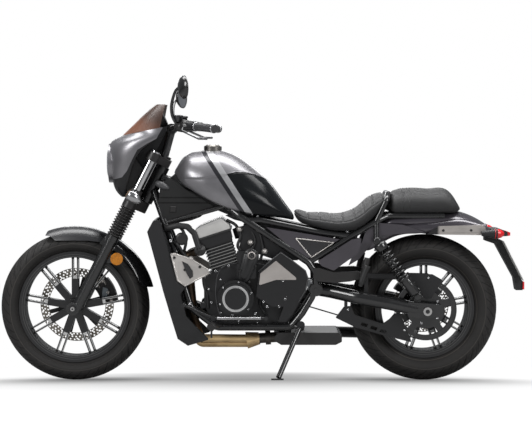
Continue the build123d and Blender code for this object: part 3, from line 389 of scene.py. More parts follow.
# height and x of the nose's rear edge; x and height of the tank's crease
FAIRING_EDGE = [(863, -621), (872, -589), (898, -568), (944, -546), (987, -523), (1013, -482),
                (1032, -444), (1081, -416)]
CREASE = [(-372, 869), (-261, 869), (-164, 882), (-114, 894), (-77, 894), (-28, 882), (20, 861),
          (78, 798), (134, 708)]
STRIPE_SLOPE, STRIPE_TOP = 0.655, 978
DARK_STRIPE, LIGHT_STRIPE = (-259, -239), (-238, -210)


def silver(name):
    """Metallic silver under lacquer, still to be painted."""
    return grained(name, SILVER, 0.36, metal=0.7, coat=COAT, grain=3000, depth=0.000012,
                   Coat_Roughness=0.2, Specular_IOR_Level=0.15)


fairing_paint = silver("fairing_silver")
x, y, z = fairing_paint.upright()
behind = x.above(z.chart(FAIRING_EDGE))
fairing_paint.paint((behind.op("MAXIMUM", z.below(FAIRING_LOW)), (0.012, 0.012, 0.013), 0.42, 0.0))

tank_paint = silver("tank_silver")
x, y, z = tank_paint.upright()
slant = x - (STRIPE_TOP - z) * STRIPE_SLOPE
knee = slant.above(LIGHT_STRIPE[1]) * (z - x.chart(CREASE)).below(0.0)
tank_paint.set(Coat_Weight=COAT - knee * 0.42)
tank_paint.paint((knee, (0.009, 0.010, 0.011), 0.16, 0.0),
                 (slant.between(*DARK_STRIPE), (0.03, 0.03, 0.034), 0.25, 0.3),
                 (slant.between(*LIGHT_STRIPE), (0.5, 0.5, 0.51), 0.3, 0.6))

mudguard = grained("front_mudguard", (0.022, 0.022, 0.024), 0.36, coat=0.2, grain=1500)
x, y, z = mudguard.upright()
mudguard.paint((x.step(*GUARD_GLOSS), (0.010, 0.010, 0.011), 0.12, 0.0))

# %% [markdown]
# ## Wheels and brakes
# On a wheel everything follows the distance from the axle and the angle round it: brushed rings on
# a disc and its black carrier, moulded rings on a tyre wall, and the bright machined edges of nine
# twin spokes, found by folding the angle into one ninth of a turn.

# %% Finishes that turn round an axle
SPOKES, TINE_GAP, TINE_HALF, TINE_ROOT = 9, 11, 4, 16.0
HOLES, HOLE_ROWS, HOLE_R = 54, 3, 3.7
GROOVES, GROOVE_SHARE = 44, 0.13


def tyre_rubber(name, axle, tread_r):
    """Fine rings and two lighter lines on the wall, painted shade in slanting grooves on the shoulder, and
    dust.
    """
    f = Finish(name, (0.011, 0.0098, 0.009), 0.72)
    r, a = f.polar(axle[0], axle[2])
    rings = (r * 1.1).wave() * (1 - r.step(tread_r - 6.0, tread_r))
    # painted shade: near-black slanting bands on the shoulder stand for the shade in the tread grooves
    tread_groove_shade = (a * (GROOVES / (2 * math.pi)) + r * 0.03).fraction().below(GROOVE_SHARE)
    tread_groove_shade = tread_groove_shade * r.between(tread_r - 14.0, tread_r + 22.0)
    wall = r.between(tread_r - 56.0, tread_r - 53.0) + r.between(tread_r - 20.0, tread_r - 18.0)
    f.relief(f.noise(900.0, 4.0) + rings * 0.5, 0.5, 0.00025)
    dusty = f.noise(24.0, 5.0).step(0.45, 0.75) * 0.5
    return f.paint((dusty, (0.020, 0.0165, 0.014), 0.8, 0.0), (tread_groove_shade, (0.001, 0.001, 0.001), 0.9, 0.0),
                   (wall, (0.045, 0.040, 0.035), 0.6, 0.0))


def rim_paint(name, axle, fork_r, barrel):
    """Black, with bright edges on each spoke's two tines from fork_r out to the barrel, painted shade
    inside the barrel and two thin painted highlight rings on its lip.
    """
    f = grained(name, (0.009, 0.009, 0.010), 0.3, coat=0.2)
    r, a = f.polar(axle[0], axle[2])
    turn = 2 * math.pi / SPOKES
    folded = ((a - math.pi / 2) / turn + 0.5 + SPOKES).fraction() * turn - turn / 2
    across, along = r * folded.wave(), r * folded.op("COSINE")
    edge = ((across.size() - TINE_GAP).size()).above(TINE_HALF - 1.7) * across.size().below(TINE_ROOT)
    cut_face = edge * along.between(fork_r - 12.0, barrel - 9.0)
    # painted highlight: two thin lighter rings on the rim's lip
    lip = r.between(barrel + 3.0, barrel + 5.0) + r.between(barrel + 12.0, barrel + 13.5)
    # painted shade: the barrel's inner face, darker and rougher
    inside = r.between(barrel - 9.0, barrel + 1.5)
    return f.paint((inside, (0.004, 0.004, 0.004), 0.7, 0.0), (cut_face, (0.75, 0.75, 0.74), 0.25, 1.0),
                   (lip, (0.10, 0.10, 0.10), 0.3, 0.3))


def disc_steel(name, axle, inner, outer):
    """Brushed steel round a black carrier, and clear within HOLE_R of each hole's middle."""
    f = Finish(name, (0.25, 0.23, 0.205), 0.36, 0.9)
    r, a = f.polar(axle[0], axle[2])
    turn = 2 * math.pi / HOLES
    f.relief((r * 5.0).wave() + f.noise(800.0), 0.25, 0.00004)
    f.paint((r.below(inner - 1.0), (0.008, 0.008, 0.009), 0.4, 0.0),
            (r.between(inner + 4.0, outer - 4.0) * f.noise(30.0), (0.31, 0.28, 0.235), 0.32, 0.9))
    rows = np.linspace(inner + 5.5, outer - 6.0, HOLE_ROWS).tolist()
    holes = 0.0
    for k, row in enumerate(rows):
        near = ((a / turn + k / HOLE_ROWS + HOLES).fraction() - 0.5) * turn * row
        off = r - row
        holes = (near * near + off * off).below(HOLE_R ** 2) + holes
    f.set(Alpha=1.0 - holes)
    return f


def axle_end(name, axle, inner, outer):
    """A dark nut with one bright ring."""
    f = grained(name, (0.014, 0.014, 0.015), 0.35, coat=0.2)
    r, _ = f.polar(axle[0], axle[2])
    return f.paint((r.between(inner, outer), (0.62, 0.61, 0.6), 0.25, 1.0))


# radii in mm: where the tread starts, where the spokes fork, the barrel, the disc's two edges
for end, axle, tread_r, fork_r, barrel, inner, outer in (
        ("front", FRONT_AXLE, 290, 131, 211, 122, 158), ("rear", REAR_AXLE, 276, 114, 184, 88, 120)):
    dress(tyre_rubber(end + "_tyre_rubber", axle, tread_r), end + "_tyre")
    dress(rim_paint(end + "_rim_paint", axle, fork_r, barrel), end + "_rim")
    dress(disc_steel(end + "_disc_steel", axle, inner, outer), end + "_disc")

# %% [markdown]
# ## The engine's castings
# Black-coated castings carry a few bright parts: the edges of the cooling fins, where the coating
# was machined off, a polished ring on the round cover, and satin inserts on the side cover.

# %% Engine finishes
ENGINE_TILT, ENGINE_X, ENGINE_Z = math.radians(18), -202.5, 627.5
FIN_TOP, FIN_PITCH, FIN_COUNT, FIN_FACE_Y = -50, 13, 6, 112.8
ALTERNATOR = (-112, 365)            # x and z of the round cover's middle
COVER_RING, RING_FACE_Y = (45.5, 55.0), -175.0
INSERT_Y, INSERT_FROM_R = (-156.0, -152.3), 80.0
HOT_PIPE_Z, PIPE_JOINT_X = (205.0, 235.0), -12.0
GASKET_RISE, POLISHED_RISE = 7.5, (40.0, 50.0)


def up_the_cylinders(f):
    """Height in mm along the tilted cylinders: -dx sin(tilt) + dz cos(tilt)."""
    x, _, z = f.upright()
    return (x - ENGINE_X) * -math.sin(ENGINE_TILT) + (z - ENGINE_Z) * math.cos(ENGINE_TILT)


fins = grained("finned_cylinders", (0.009, 0.009, 0.010), 0.44, grain=1100, depth=0.0001)
x, y, z = fins.upright()
rise = up_the_cylinders(fins)
fin = ((FIN_TOP - rise) / FIN_PITCH).fraction().between(0.06, 0.22)
finned = rise.between(FIN_TOP - FIN_COUNT * FIN_PITCH - 6, FIN_TOP + 2)
bright = fin * y.size().above(FIN_FACE_Y) * finned
fins.paint((bright, (0.6, 0.6, 0.58), 0.3, 1.0))

covers = grained("engine_covers", (0.009, 0.009, 0.010), 0.4, grain=1100, depth=0.0001)
x, y, z = covers.upright()
r, _ = covers.polar(*ALTERNATOR)
ring = r.between(*COVER_RING) * y.below(RING_FACE_Y)
insert = y.between(*INSERT_Y) * r.above(INSERT_FROM_R)
covers.paint((ring, (0.62, 0.62, 0.62), 0.3, 0.4), (insert, (0.50, 0.465, 0.44), 0.36, 0.5))

exhaust = Finish("exhaust_steel", (0.80, 0.58, 0.30), 0.36, 0.7)
x, y, z = exhaust.upright()
exhaust.relief(exhaust.noise(60.0) + exhaust.noise(500.0), 0.15, 0.00005)
hot = exhaust.noise(14.0, 4.0).step(0.4, 0.7)
exhaust.paint((z.step(*HOT_PIPE_Z) * 0.95, (0.028, 0.017, 0.012), 0.45, 0.4),
              (hot * 0.35, (0.42, 0.22, 0.11), 0.3, 0.85),
              (x.above(PIPE_JOINT_X), (0.10, 0.09, 0.08), 0.35, 0.8))

head_metal = grained("head_cover_alloy", (0.66, 0.65, 0.63), 0.36, metal=0.35, grain=900, depth=0.00006)
rise = up_the_cylinders(head_metal)
head_metal.paint((rise.below(GASKET_RISE), (0.03, 0.03, 0.03), 0.45, 0.0),
                 (rise.step(*POLISHED_RISE) * 0.6, (0.82, 0.81, 0.79), 0.24, 0.9))

signal_shell = plain("signal_shell", (0.42, 0.42, 0.43), 0.22, metal=0.9, grain=1600, depth=0.00002)
core = Finish("radiator_core", (0.02, 0.02, 0.021), 0.45)
x, y, z = core.upright()
core.relief((y * 2.5).wave() + (z * 0.7).wave(), 0.8, 0.0006)
core.paint()

# %% [markdown]
# ## Glass, lenses and lights
# The screen is smoked brown. Lenses show a moulded pattern under the surface, drawn as relief and
# tone from the distance to the lamp's own axis, so they read as lamps and not as flat discs.

# %% Lamp finishes
def lens(name, color, scale=260.0):
    """Coloured glass with moulded cells of about 1000/scale mm."""
    f = Finish(name, color, 0.3, 0.0, 0.25)
    f.relief(f.cells(scale), 0.6, 0.0012)
    f.set(Base_Color=f.mixed(f.cells(scale), color, tuple(c * 0.55 for c in color)))
    return f


LAMP = (-600, 0, 930)
LAMP_RING, REFLECTOR_R = (34.0, 38.0), 66.0
CLOCK, CLOCK_DIR = (-432, 0, 1122), (0.9, 0, 0.42)
DIAL_X, DIAL_Z = -419, 1128         # the middle of the clock's face
TICKS_R, SCREEN_R = (27.0, 33.0), (10.0, 20.0)
amber = lens("amber_lens", (0.56, 0.19, 0.002), 120.0)
signal_lens = lens("signal_lens", (0.16, 0.10, 0.06))
red = lens("red_lens", (0.85, 0.012, 0.02), 60.0)
smoked = Finish("smoked_screen", (0.07, 0.032, 0.02), 0.4)
x, y, z = smoked.upright()
smoked.set(Roughness=smoked.noise(30.0) * 0.05 + 0.4, Alpha=0.92 - y.size().step(60.0, 130.0) * 0.18)
higher = (x * 0.6 + z).step(760.0, 860.0)
smoked.set(Base_Color=smoked.mixed(higher, (0.16, 0.06, 0.03), (0.05, 0.026, 0.018)))
lamp_glass = Finish("lamp_glass", (0.35, 0.37, 0.4), 0.06, 0.4, 1.0)
x, y, z = lamp_glass.upright()
out = (y * y + (z - LAMP[2]) * (z - LAMP[2])).op("SQRT")
bar = out.below(LAMP_RING[0]) * (z - LAMP[2]).size().below(2.0)
lamp_glass.relief((out * 0.45).wave(), 0.5, 0.0008)
lamp_glass.paint((out.between(*LAMP_RING), (0.02, 0.02, 0.022), 0.2, 0.0),
                 (out.above(REFLECTOR_R), (0.75, 0.77, 0.8), 0.1, 0.6),
                 (bar, (0.02, 0.02, 0.02), 0.3, 0.0))
dial = Finish("dial", (0.008, 0.009, 0.012), 0.1, 0.0, 1.0)
x, y, z = dial.upright()
up = (x - DIAL_X) * -CLOCK_DIR[2] + (z - DIAL_Z) * CLOCK_DIR[0]
far, angle = (y * y + up * up).op("SQRT"), up.op("ARCTAN2", y)
ticks = (angle * 12.0 / math.pi).fraction().below(0.12) * far.between(*TICKS_R)
screen = far.between(*SCREEN_R) * y.size().below(8.0) * 0.7
dial.paint((ticks, (0.75, 0.76, 0.78), 0.3, 0.0), (screen, (0.10, 0.16, 0.2), 0.2, 0.0))

# %% [markdown]
# ## Black pieces with one other part
# The rear struts turn silver behind the seat, each front panel has two grooves painted dark as shade, and
# the gear rod and the hand levers are bright metal in a black node.

# %% Parts of a node picked by place
STRUT_SILVER = (735.0, 750.0)
PANEL_GROOVES = ((758.5, 766.0), (781.0, 788.0))
GEAR_ROD_X, GEAR_ROD_Z = (-190.0, -6.0), (276.0, 292.0)
LEVERS_BELOW = 1060.0
struts = grained("strut_paint", (0.009, 0.009, 0.010), 0.3, coat=0.3)
struts.paint((struts.upright()[0].step(*STRUT_SILVER), (0.60, 0.56, 0.53), 0.32, 0.7))
panels = grained("front_panel_plastic", (0.005, 0.005, 0.0052), 0.52, grain=1400, depth=0.00007)
# painted shade: two near-black bands stand for the shade in each panel's grooves
panel_groove_shade = sum(panels.upright()[2].between(*groove) for groove in PANEL_GROOVES)
panels.paint((panel_groove_shade, (0.0015, 0.0015, 0.0015), 0.8, 0.0))
levers = grained("lever_paint", (0.010, 0.010, 0.011), 0.35, coat=0.2)
x, _, z = levers.upright()
levers.paint((x.between(*GEAR_ROD_X) * z.between(*GEAR_ROD_Z), (0.6, 0.6, 0.61), 0.22, 1.0))
switches = grained("switch_paint", (0.016, 0.016, 0.017), 0.35, coat=0.2)
switches.paint((switches.upright()[2].below(LEVERS_BELOW), (0.32, 0.32, 0.33), 0.3, 0.9))
grip_rubber = plain("grip_rubber", (0.05, 0.05, 0.052), 0.34, coat=0.2, grain=700, depth=0.0003)
lamp_silver = silver("lamp_silver").paint()

# %% [markdown]
# ## Which piece gets which
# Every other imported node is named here, so nothing is left in its plain colour.

# %% Finishes on the nodes
for finish, nodes in (
        (panels, "front_panels"), (switches, "switch_gear"), (struts, "fender_struts"),
        (levers, "foot_levers"), (grip_rubber, "grips"), (covers, "engine_covers"),
        (fins, "cylinders"), (core, "radiator"), (bright_steel, "fork_tubes"),
        (alloy, "shroud_plates"), (head_metal, "head_cover"), (cap_steel, "tank_cap"),
        (fairing_paint, "fairing"), (lamp_silver, "headlamp"), (tank_paint, "tank"),
        (mudguard, "front_fender"), (amber, "front_reflectors"), (red, "tail_lenses"),
        (smoked, "windscreen"), (lamp_glass, "headlamp_lens"), (plate_white, "number_plate"),
        (exhaust, "exhaust_pipes"), (violet_black, "rear_fender side_panels"),
        (satin_black, "triple_clamps footrests muffler"),
        (cast_black, "crankcase front_caliper rear_caliper"),
        (black_paint, "frame side_stand swingarm rear_shocks fork_sliders handlebar rear_pulley"),
        (dark_plastic, "mirrors instrument front_signals tail_lamp rear_signals airbox"),
        (dark_plastic, "radiator_shroud belt_guards"),
        (rubber, "drive_belt fork_gaiters coolant_hose rider_seat pillion_seat"),
        (axle_end("front_axle_end", FRONT_AXLE, 4, 9), "front_axle"),
        (axle_end("rear_axle_end", REAR_AXLE, 9, 18), "rear_axle")):
    dress(finish, *nodes.split())
print("finishes:", len(bpy.data.materials))
# %% [markdown]
# ## Tyres with tread
# A tyre is its cross-section carried round the axle. The section is a row of curved spans from
# bead to bead. Grooves are pressed into the crown where a slanting wave of the angle and of the
# distance from the middle passes through zero, with a short cut between each two long ones, and
# moulded rings stand up on the walls. All of it is in the mesh, so the tread shows at the skyline.

# %% Tyres
def tyre_section(r, half, bead, bead_half):
    """(radius, y) points round the tyre's section, and how far each is into the crown, 0 to 1."""
    row = lambda *p: np.array([p], float)
    shoulder = (r - 0.41 * half, 0.93 * half)
    wall = (bead + 0.42 * (r - bead), half)
    left = lambda p: (p[0], -p[1])
    foot = (bead + 16, bead_half + 12)
    spans = [bend(row(*foot), row(*wall), row(*shoulder), 14),
             bend(row(*shoulder), row(r, 0), row(*left(shoulder)), 40),
             bend(row(*left(shoulder)), row(*left(wall)), row(*left(foot)), 14)]
    bead_points = np.array([left(foot), (bead + 9, -bead_half), (bead + 0.5, -bead_half),
                            (bead + 0.5, bead_half), (bead + 9, bead_half)])
    section = np.concatenate([s[0] for s in spans] + [bead_points])
    crown = np.zeros(len(section))
    crown[14:54] = 1
    return section, crown


def tyre(name, axle, r, half, bead, bead_half, body, blocks, depth=4.5, steps=900):
    """Groove depth falls with the distance from the nearest groove line, smoothly to nothing."""
    section, crown = tyre_section(r, half, bead, bead_half)
    radius, y = section[:, 0][None], section[:, 1][None]
    a = np.linspace(0, 2 * math.pi, steps, endpoint=False)[:, None]
    out = np.abs(y) / half
    phase = blocks * a / (2 * math.pi) + 0.5 * (y < 0) - 0.9 * out ** 1.5
    pitch = 2 * math.pi * r / blocks
    near = lambda p: np.abs((p + 0.5) % 1 - 0.5) * pitch
    long_cut = (1 - rounded_step(near(phase), 1.5, 4.0)) * rounded_step(out, 0.1, 0.2)
    short_cut = (1 - rounded_step(near(phase + 0.5), 1.2, 3.2)) * rounded_step(out, 0.5, 0.6)
    line_cut = 1 - rounded_step(np.abs(out - 0.09) * half, 1.2, 3.0)
    cut = np.maximum(np.maximum(long_cut, short_cut), line_cut) * crown[None]
    rings = 0.9 * (1 - crown[None]) * np.exp(-((radius - (bead + 24)) / 1.6) ** 2)
    outer = bead + 0.62 * (r - bead)
    rings = rings + 0.7 * (1 - crown[None]) * np.exp(-((radius - outer) / 1.5) ** 2)
    radial = radius - depth * cut
    wide = y + np.sign(y) * (rings - 0.3)
    grid = np.stack([axle[0] + radial * np.cos(a), wide + 0 * a, axle[2] + radial * np.sin(a)], -1)
    piece = surface(name, grid, body, "tyre", close_rows=True)
    print(name, len(piece.data.polygons), "faces")
    return piece


front_tread = tyre("front_tyre_treaded", FRONT_AXLE, 317, 65, 229, 37.7, "front_wheel", 30)
rear_tread = tyre("rear_tyre_treaded", REAR_AXLE, 313, 90, 203, 56.7, "rear_wheel", 26)
for piece, node in ((front_tread, "front_tyre"), (rear_tread, "rear_tyre")):
    piece.data.materials.append(frame["nodes"][node].data.materials[0])
    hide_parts(node)

# %% [markdown]
# ## Gaiters and springs
# The gaiters are rubber bellows: a wave turned about the fork leg. The shock absorbers are a real
# coil, a wire carried along a helix between its two seats, over a damper with cut adjuster rings.

# %% Gaiters and shock absorbers
RAKE = math.radians(26.9)
DOWN = np.array([-math.sin(RAKE), 0, -math.cos(RAKE)])
AHEAD = np.array([-math.cos(RAKE), 0, math.sin(RAKE)])
FORK_TOP = np.array([-457.0, 0.0, 961.0])
FORK_Y = 100


def fork(s, ahead=0.0, y=0.0):
    """A point s mm down the fork legs from their tops."""
    return FORK_TOP + DOWN * s + AHEAD * ahead + np.array([0.0, y, 0.0])


GAITER_FROM, GAITER_TO, FOLDS, MEAN_R, FOLD_TALL = 244, 378, 11, 27.4, 3.8
d = np.linspace(0, GAITER_TO - GAITER_FROM, 140)
wave = MEAN_R + FOLD_TALL * np.sin(2 * math.pi * FOLDS * d / d[-1] - math.pi / 2)
wave = wave - 3 * (d / d[-1] - 0.5) ** 2
profile = [(0, 0), (0, 25)] + np.stack([d, wave], -1).tolist() + [(d[-1], 25), (d[-1], 0)]
bellows = lathe(profile, fork(GAITER_FROM, 0, FORK_Y), DOWN, 36)
gaiters = joined("fork_bellows", both_sides([bellows]), "steering", "rubber")
dress(satin_black, gaiters)
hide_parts("fork_gaiters")

TOP_EYE, LOW_EYE = np.array([480.0, 165, 606]), np.array([651.0, 165, 374])
COILS, COIL_R, WIRE_R, SEATS = 7, 24.5, 4.6, (48, 184)
way, side, up = around(LOW_EYE - TOP_EYE)
eye = [(-13, 0), (-13, 12), (-11, 16), (11, 16), (13, 12), (13, 0)]
adjuster = [(186, 0), (186, 27), (190, 29), (196, 29), (198, 25)]
for k in range(5):
    adjuster += [(200 + 4 * k, 24.5), (202 + 4 * k, 23)]
damper = adjuster + [(222, 23), (268, 23), (276, 19), (276, 0)]
crown_cap = [(10, 0), (10, 18), (14, 26), (20, 27.5), (38, 27.5), (44, 25), (46, 0)]
shock = [lathe(eye, TOP_EYE, (0, 1, 0)), lathe(eye, LOW_EYE, (0, 1, 0)),
         lathe(crown_cap, TOP_EYE, way), lathe(damper, TOP_EYE, way),
         lathe([(40, 0), (40, 8), (200, 8), (200, 0)], TOP_EYE, way)]
shocks = joined("shock_bodies", both_sides(shock), "chassis", "black_paint")
turn = np.linspace(0, 2 * math.pi * COILS, COILS * 26)
level = SEATS[0] + (SEATS[1] - SEATS[0]) * turn / turn[-1]
round_it = np.cos(turn)[:, None] * side + np.sin(turn)[:, None] * up
helix = TOP_EYE + level[:, None] * way + COIL_R * round_it
springs = joined("shock_springs", both_sides([pipe(helix, WIRE_R, 10)]), "chassis", "black_paint")
dress(black_paint, shocks, springs)
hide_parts("rear_shocks")
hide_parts("rear_shocks")


# %% [markdown]
# ## The tank
# A pressed tank has one long crease down each side, and the metal below it is pressed in for the
# rider's knees. Its cross-sections are read from a short table of low edge, top and half width,
# joined by a smooth curve, and the press is a step inwards that dies out towards the bottom.

# %% Tank surface
def through(x, xs, ys):
    """A smooth curve through the points (Hermite, with the table's own slopes)."""
    xs, ys = np.asarray(xs, float), np.asarray(ys, float)
    slope = np.gradient(ys, xs)
    k = np.clip(np.searchsorted(xs, x) - 1, 0, len(xs) - 2)
    h = xs[k + 1] - xs[k]
    t = (x - xs[k]) / h
    return ((1 + 2 * t) * (1 - t) ** 2 * ys[k] + t * (1 - t) ** 2 * h * slope[k]
            + t * t * (3 - 2 * t) * ys[k + 1] + t * t * (t - 1) * h * slope[k + 1])


def rounded(grid, passes):
    """Averages each point with its neighbours round the section, which softens the kinks."""
    for _ in range(passes):
        grid = 0.5 * grid + 0.25 * (np.roll(grid, 1, 1) + np.roll(grid, -1, 1))
    return grid


def section_grid(x, foot, waist, crown, top, ends, cols):
    """Closed sections: flat foot, a side span to the crown corner, an arched top; mirrored."""
    mirror = np.array([-1.0, 1.0])
    flat = lambda p: np.stack([0 * p[:, 0], p[:, 1]], -1)
    spans = [bend(foot * mirror, flat(foot), foot, cols[0]), bend(foot, waist, crown, cols[1]),
             bend(crown, top, crown * mirror, cols[2]),
             bend(crown * mirror, waist * mirror, foot * mirror, cols[1])]
    yz = rounded(np.concatenate(spans, 1), 4)
    centre = yz.mean(1, keepdims=True)
    yz = centre + (yz - centre) * ends[:, None, None]
    return np.concatenate([np.broadcast_to(x[:, None, None], yz.shape[:2] + (1,)), yz], -1)


def end_caps(t, front, rear):
    """Shrinks the sections to a point at both ends along a quarter circle: sqrt(1 - (1 - t/w)^2)."""
    a = np.clip(t / front, 0, 1)
    b = np.clip((1 - t) / rear, 0, 1)
    return np.sqrt(1 - (1 - a) ** 2) * np.sqrt(1 - (1 - b) ** 2)


# x, low edge, top, half width
TANK = np.array([(-375, 866, 914, 58), (-330, 836, 962, 104), (-262, 794, 981, 138), (-190, 757, 987, 147),
                 (-118, 731, 966, 147), (-43, 714, 917, 138), (34, 704, 846, 120), (90, 697, 770, 98),
                 (136, 688, 708, 72)], float)
t = np.linspace(0, 1, 150)
x = TANK[0, 0] + (TANK[-1, 0] - TANK[0, 0]) * t
low, top, half = (through(x, TANK[:, 0], TANK[:, k]) for k in (1, 2, 3))
tall = top - low
grid = section_grid(x, np.stack([0.86 * half, low], -1), np.stack([half, low + 0.38 * tall], -1),
                    np.stack([0.68 * half, low + 0.80 * tall], -1), np.stack([0 * x, top], -1),
                    end_caps(t, 0.10, 0.02), (14, 60, 40))
crease = np.interp(grid[..., 0], *np.array(CREASE, float).T)
below = crease - grid[..., 2]
press = rounded_step(below, -2, 5) * (1 - rounded_step(below, 35, 120))
press *= rounded_step(grid[..., 0], -372, -300) * (1 - rounded_step(grid[..., 0], 70, 130))
PRESS_DEEP = 5.0
grid[..., 1] -= np.sign(grid[..., 1]) * np.minimum(PRESS_DEEP * press, np.abs(grid[..., 1]))
tank = surface("tank_shell", grid, "chassis", "silver_paint")
dress(tank_paint, tank)
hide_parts("tank")
print("tank", len(tank.data.polygons), "faces")

# %% [markdown]
# ## The seats
# Each seat is a foam pad under a sewn cover: crowned, with its sides pulled in at the seam, and
# channels sewn across the rider's seat every 49 mm. The pad is one closed surface, and the seams
# and channels are pressed into it where a distance to them is small. The stitches are real: small
# grains of thread along both sides of each seam.

# %% Pads and their stitches
FOOT_COLS, SIDE_COLS, TOP_COLS = 12, 34, 60       # points round one section of a pad
TOP_FROM = FOOT_COLS + SIDE_COLS
TOP_TO = TOP_FROM + TOP_COLS


def pad_surface(table, rows, sag=0.9, caps=(0.09, 0.06)):
    """Sections from (x, low, top, half, edge) rows, with rounded ends; rows crowd at the ends."""
    table = np.asarray(table, float)
    t = np.linspace(0, 1, rows)
    t = 0.5 - 0.5 * np.cos(math.pi * t) * (0.35 + 0.65 * np.abs(np.cos(math.pi * t)) ** 0.2)
    t = (t - t[0]) / (t[-1] - t[0])
    x = table[0, 0] + (table[-1, 0] - table[0, 0]) * t
    low, top, half, edge = (through(x, table[:, 0], table[:, k]) for k in (1, 2, 3, 4))
    tall = top - low
    return section_grid(x, np.stack([half - edge, low], -1), np.stack([half, low + 0.42 * tall], -1),
                        np.stack([half - sag * edge, top - 0.2 * tall], -1), np.stack([0 * x, top], -1),
                        end_caps(t, *caps), (FOOT_COLS, SIDE_COLS, TOP_COLS)), low, top, x


def normals(grid):
    """Outward unit normals of a closed grid: the cross product of its two directions."""
    n = np.cross(np.gradient(grid, axis=0), (np.roll(grid, -1, 1) - np.roll(grid, 1, 1)))
    n /= np.maximum(np.linalg.norm(n, axis=-1, keepdims=True), 1e-9)
    centre = grid.mean(1, keepdims=True)
    return n * np.sign(np.sum(n * (grid - centre), -1, keepdims=True))


def dent(grid, depth):
    """Moves each point inwards by its own depth."""
    return grid - normals(grid) * depth[..., None]


def thread(line, lift, spacing=6.0, length=4.2, r=0.75):
    """Stitches along a line: eight-sided grains whose points are start, ring of four, end."""
    step = np.linalg.norm(np.diff(line, axis=0), axis=1)
    s = np.concatenate([[0], np.cumsum(step)])
    at = np.arange(spacing, s[-1] - spacing, spacing)
    centre = np.stack([np.interp(at, s, line[:, k]) for k in range(3)], -1)
    ahead = np.stack([np.interp(at + 1, s, line[:, k]) for k in range(3)], -1) - centre
    ahead /= np.linalg.norm(ahead, axis=1, keepdims=True)
    off = np.stack([np.interp(at, s, lift[:, k]) for k in range(3)], -1)
    off /= np.linalg.norm(off, axis=1, keepdims=True)
    side = np.cross(ahead, off)
    centre = centre + off * 0.5
    return np.stack([centre - ahead * length / 2, centre + off * r, centre + side * r, centre - off * r,
                     centre - side * r, centre + ahead * length / 2], 1)


def cross_seam(grid, row, cols):
    """Stitches across a pad, along one of its sections."""
    return thread(grid[row, cols], normals(grid)[row, cols])


def stitches(name, rows):
    """One piece from many stitches."""
    grains = np.concatenate(rows)
    one = np.array([(0, 1, 2), (0, 2, 3), (0, 3, 4), (0, 4, 1), (5, 2, 1), (5, 3, 2), (5, 4, 3), (5, 1, 4)])
    faces = (one[None] + 6 * np.arange(len(grains))[:, None, None]).reshape(-1, 3).tolist()
    piece = add_mesh(name, parked(grains), faces, "chassis")
    dress(thread_grey, piece)
    return piece


def seam_lines(grid, height, offsets):
    """Lines along both sides of a pad at a share of each section's height, moved by offsets in mm."""
    out = []
    z = grid[..., 2]
    low, top = z.min(1), z.max(1)
    n = normals(grid)
    right = np.arange(FOOT_COLS, TOP_FROM)
    for cols in (right, right[::-1] + SIDE_COLS + TOP_COLS):
        side_z = z[:, cols]
        for offset in offsets:
            want = low + height * (top - low) + offset
            nearest = cols[np.argmin(np.abs(side_z - want[:, None]), 1)][8:-8]
            rows = np.arange(len(grid))[8:-8]
            out.append((grid[rows, nearest], n[rows, nearest]))
    return out


thread_grey = plain("thread", (0.16, 0.16, 0.165), 0.6, grain=3000)
leather = Finish("seat_leather", (0.037, 0.037, 0.038), 0.55)
pores = leather.cells(650.0)
leather.relief(pores * 0.7 + leather.noise(1800.0) * 0.3, 0.8, 0.0006)
worn = leather.noise(11.0, 4.0).step(0.45, 0.7) * 0.5
leather.paint((worn, (0.036, 0.036, 0.037), 0.5, 0.0),
              (pores.step(0.25, 0.6) * 0.5, (0.011, 0.011, 0.011), 0.7, 0.0))

# x, low, top, half width, edge
RIDER = [(136, 688, 742, 60, 12), (190, 668, 722, 96, 18), (250, 655, 721, 128, 24),
         (324, 645, 716, 150, 28), (400, 655, 742, 152, 30), (455, 690, 788, 140, 30),
         (505, 740, 805, 112, 26), (526, 772, 803, 92, 14)]
CHANNEL_PITCH, CHANNEL_FROM, CHANNELS = 49, 60, 9
CHANNEL_WIDE, CHANNEL_DEEP = 3.2, 4.5
FIRST_EDGE, LAST_EDGE = (40, 55), (455, 470)      # along the pad's top, where channels fade
SEAM_AT, SEAM_DEEP = 0.55, 2.2
grid, low, top, x = pad_surface(RIDER, 260)
path = np.concatenate([[0], np.cumsum(np.hypot(np.diff(x), np.diff(top)))])
near = np.abs((path - CHANNEL_FROM + CHANNEL_PITCH / 2) % CHANNEL_PITCH - CHANNEL_PITCH / 2)
channel = np.exp(-(near / CHANNEL_WIDE) ** 2)
channel = channel * rounded_step(path, *FIRST_EDGE) * (1 - rounded_step(path, *LAST_EDGE))
share = (grid[..., 2] - low[:, None]) / (top - low)[:, None]
over = rounded_step(share, 0.52, 0.60)
seam = np.exp(-((share - SEAM_AT) / 0.035) ** 2)
grid = dent(grid, CHANNEL_DEEP * channel[:, None] * over + SEAM_DEEP * seam)
rider_seat = surface("rider_cushion", grid, "chassis", "seat_cover")
dress(leather, rider_seat)
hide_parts("rider_seat")
rows = [thread(line, lift) for line, lift in seam_lines(grid, SEAM_AT, (7.0,))]
for k in range(CHANNELS):
    at = CHANNEL_FROM + CHANNEL_PITCH * k
    if 50 < at < 460:
        for move in (-4.5, 4.5):
            row = int(np.argmin(np.abs(path - at - move)))
            rows.append(cross_seam(grid, row, np.arange(TOP_FROM - 10, TOP_TO - 2)))
rider_thread = stitches("rider_seat_thread", rows)

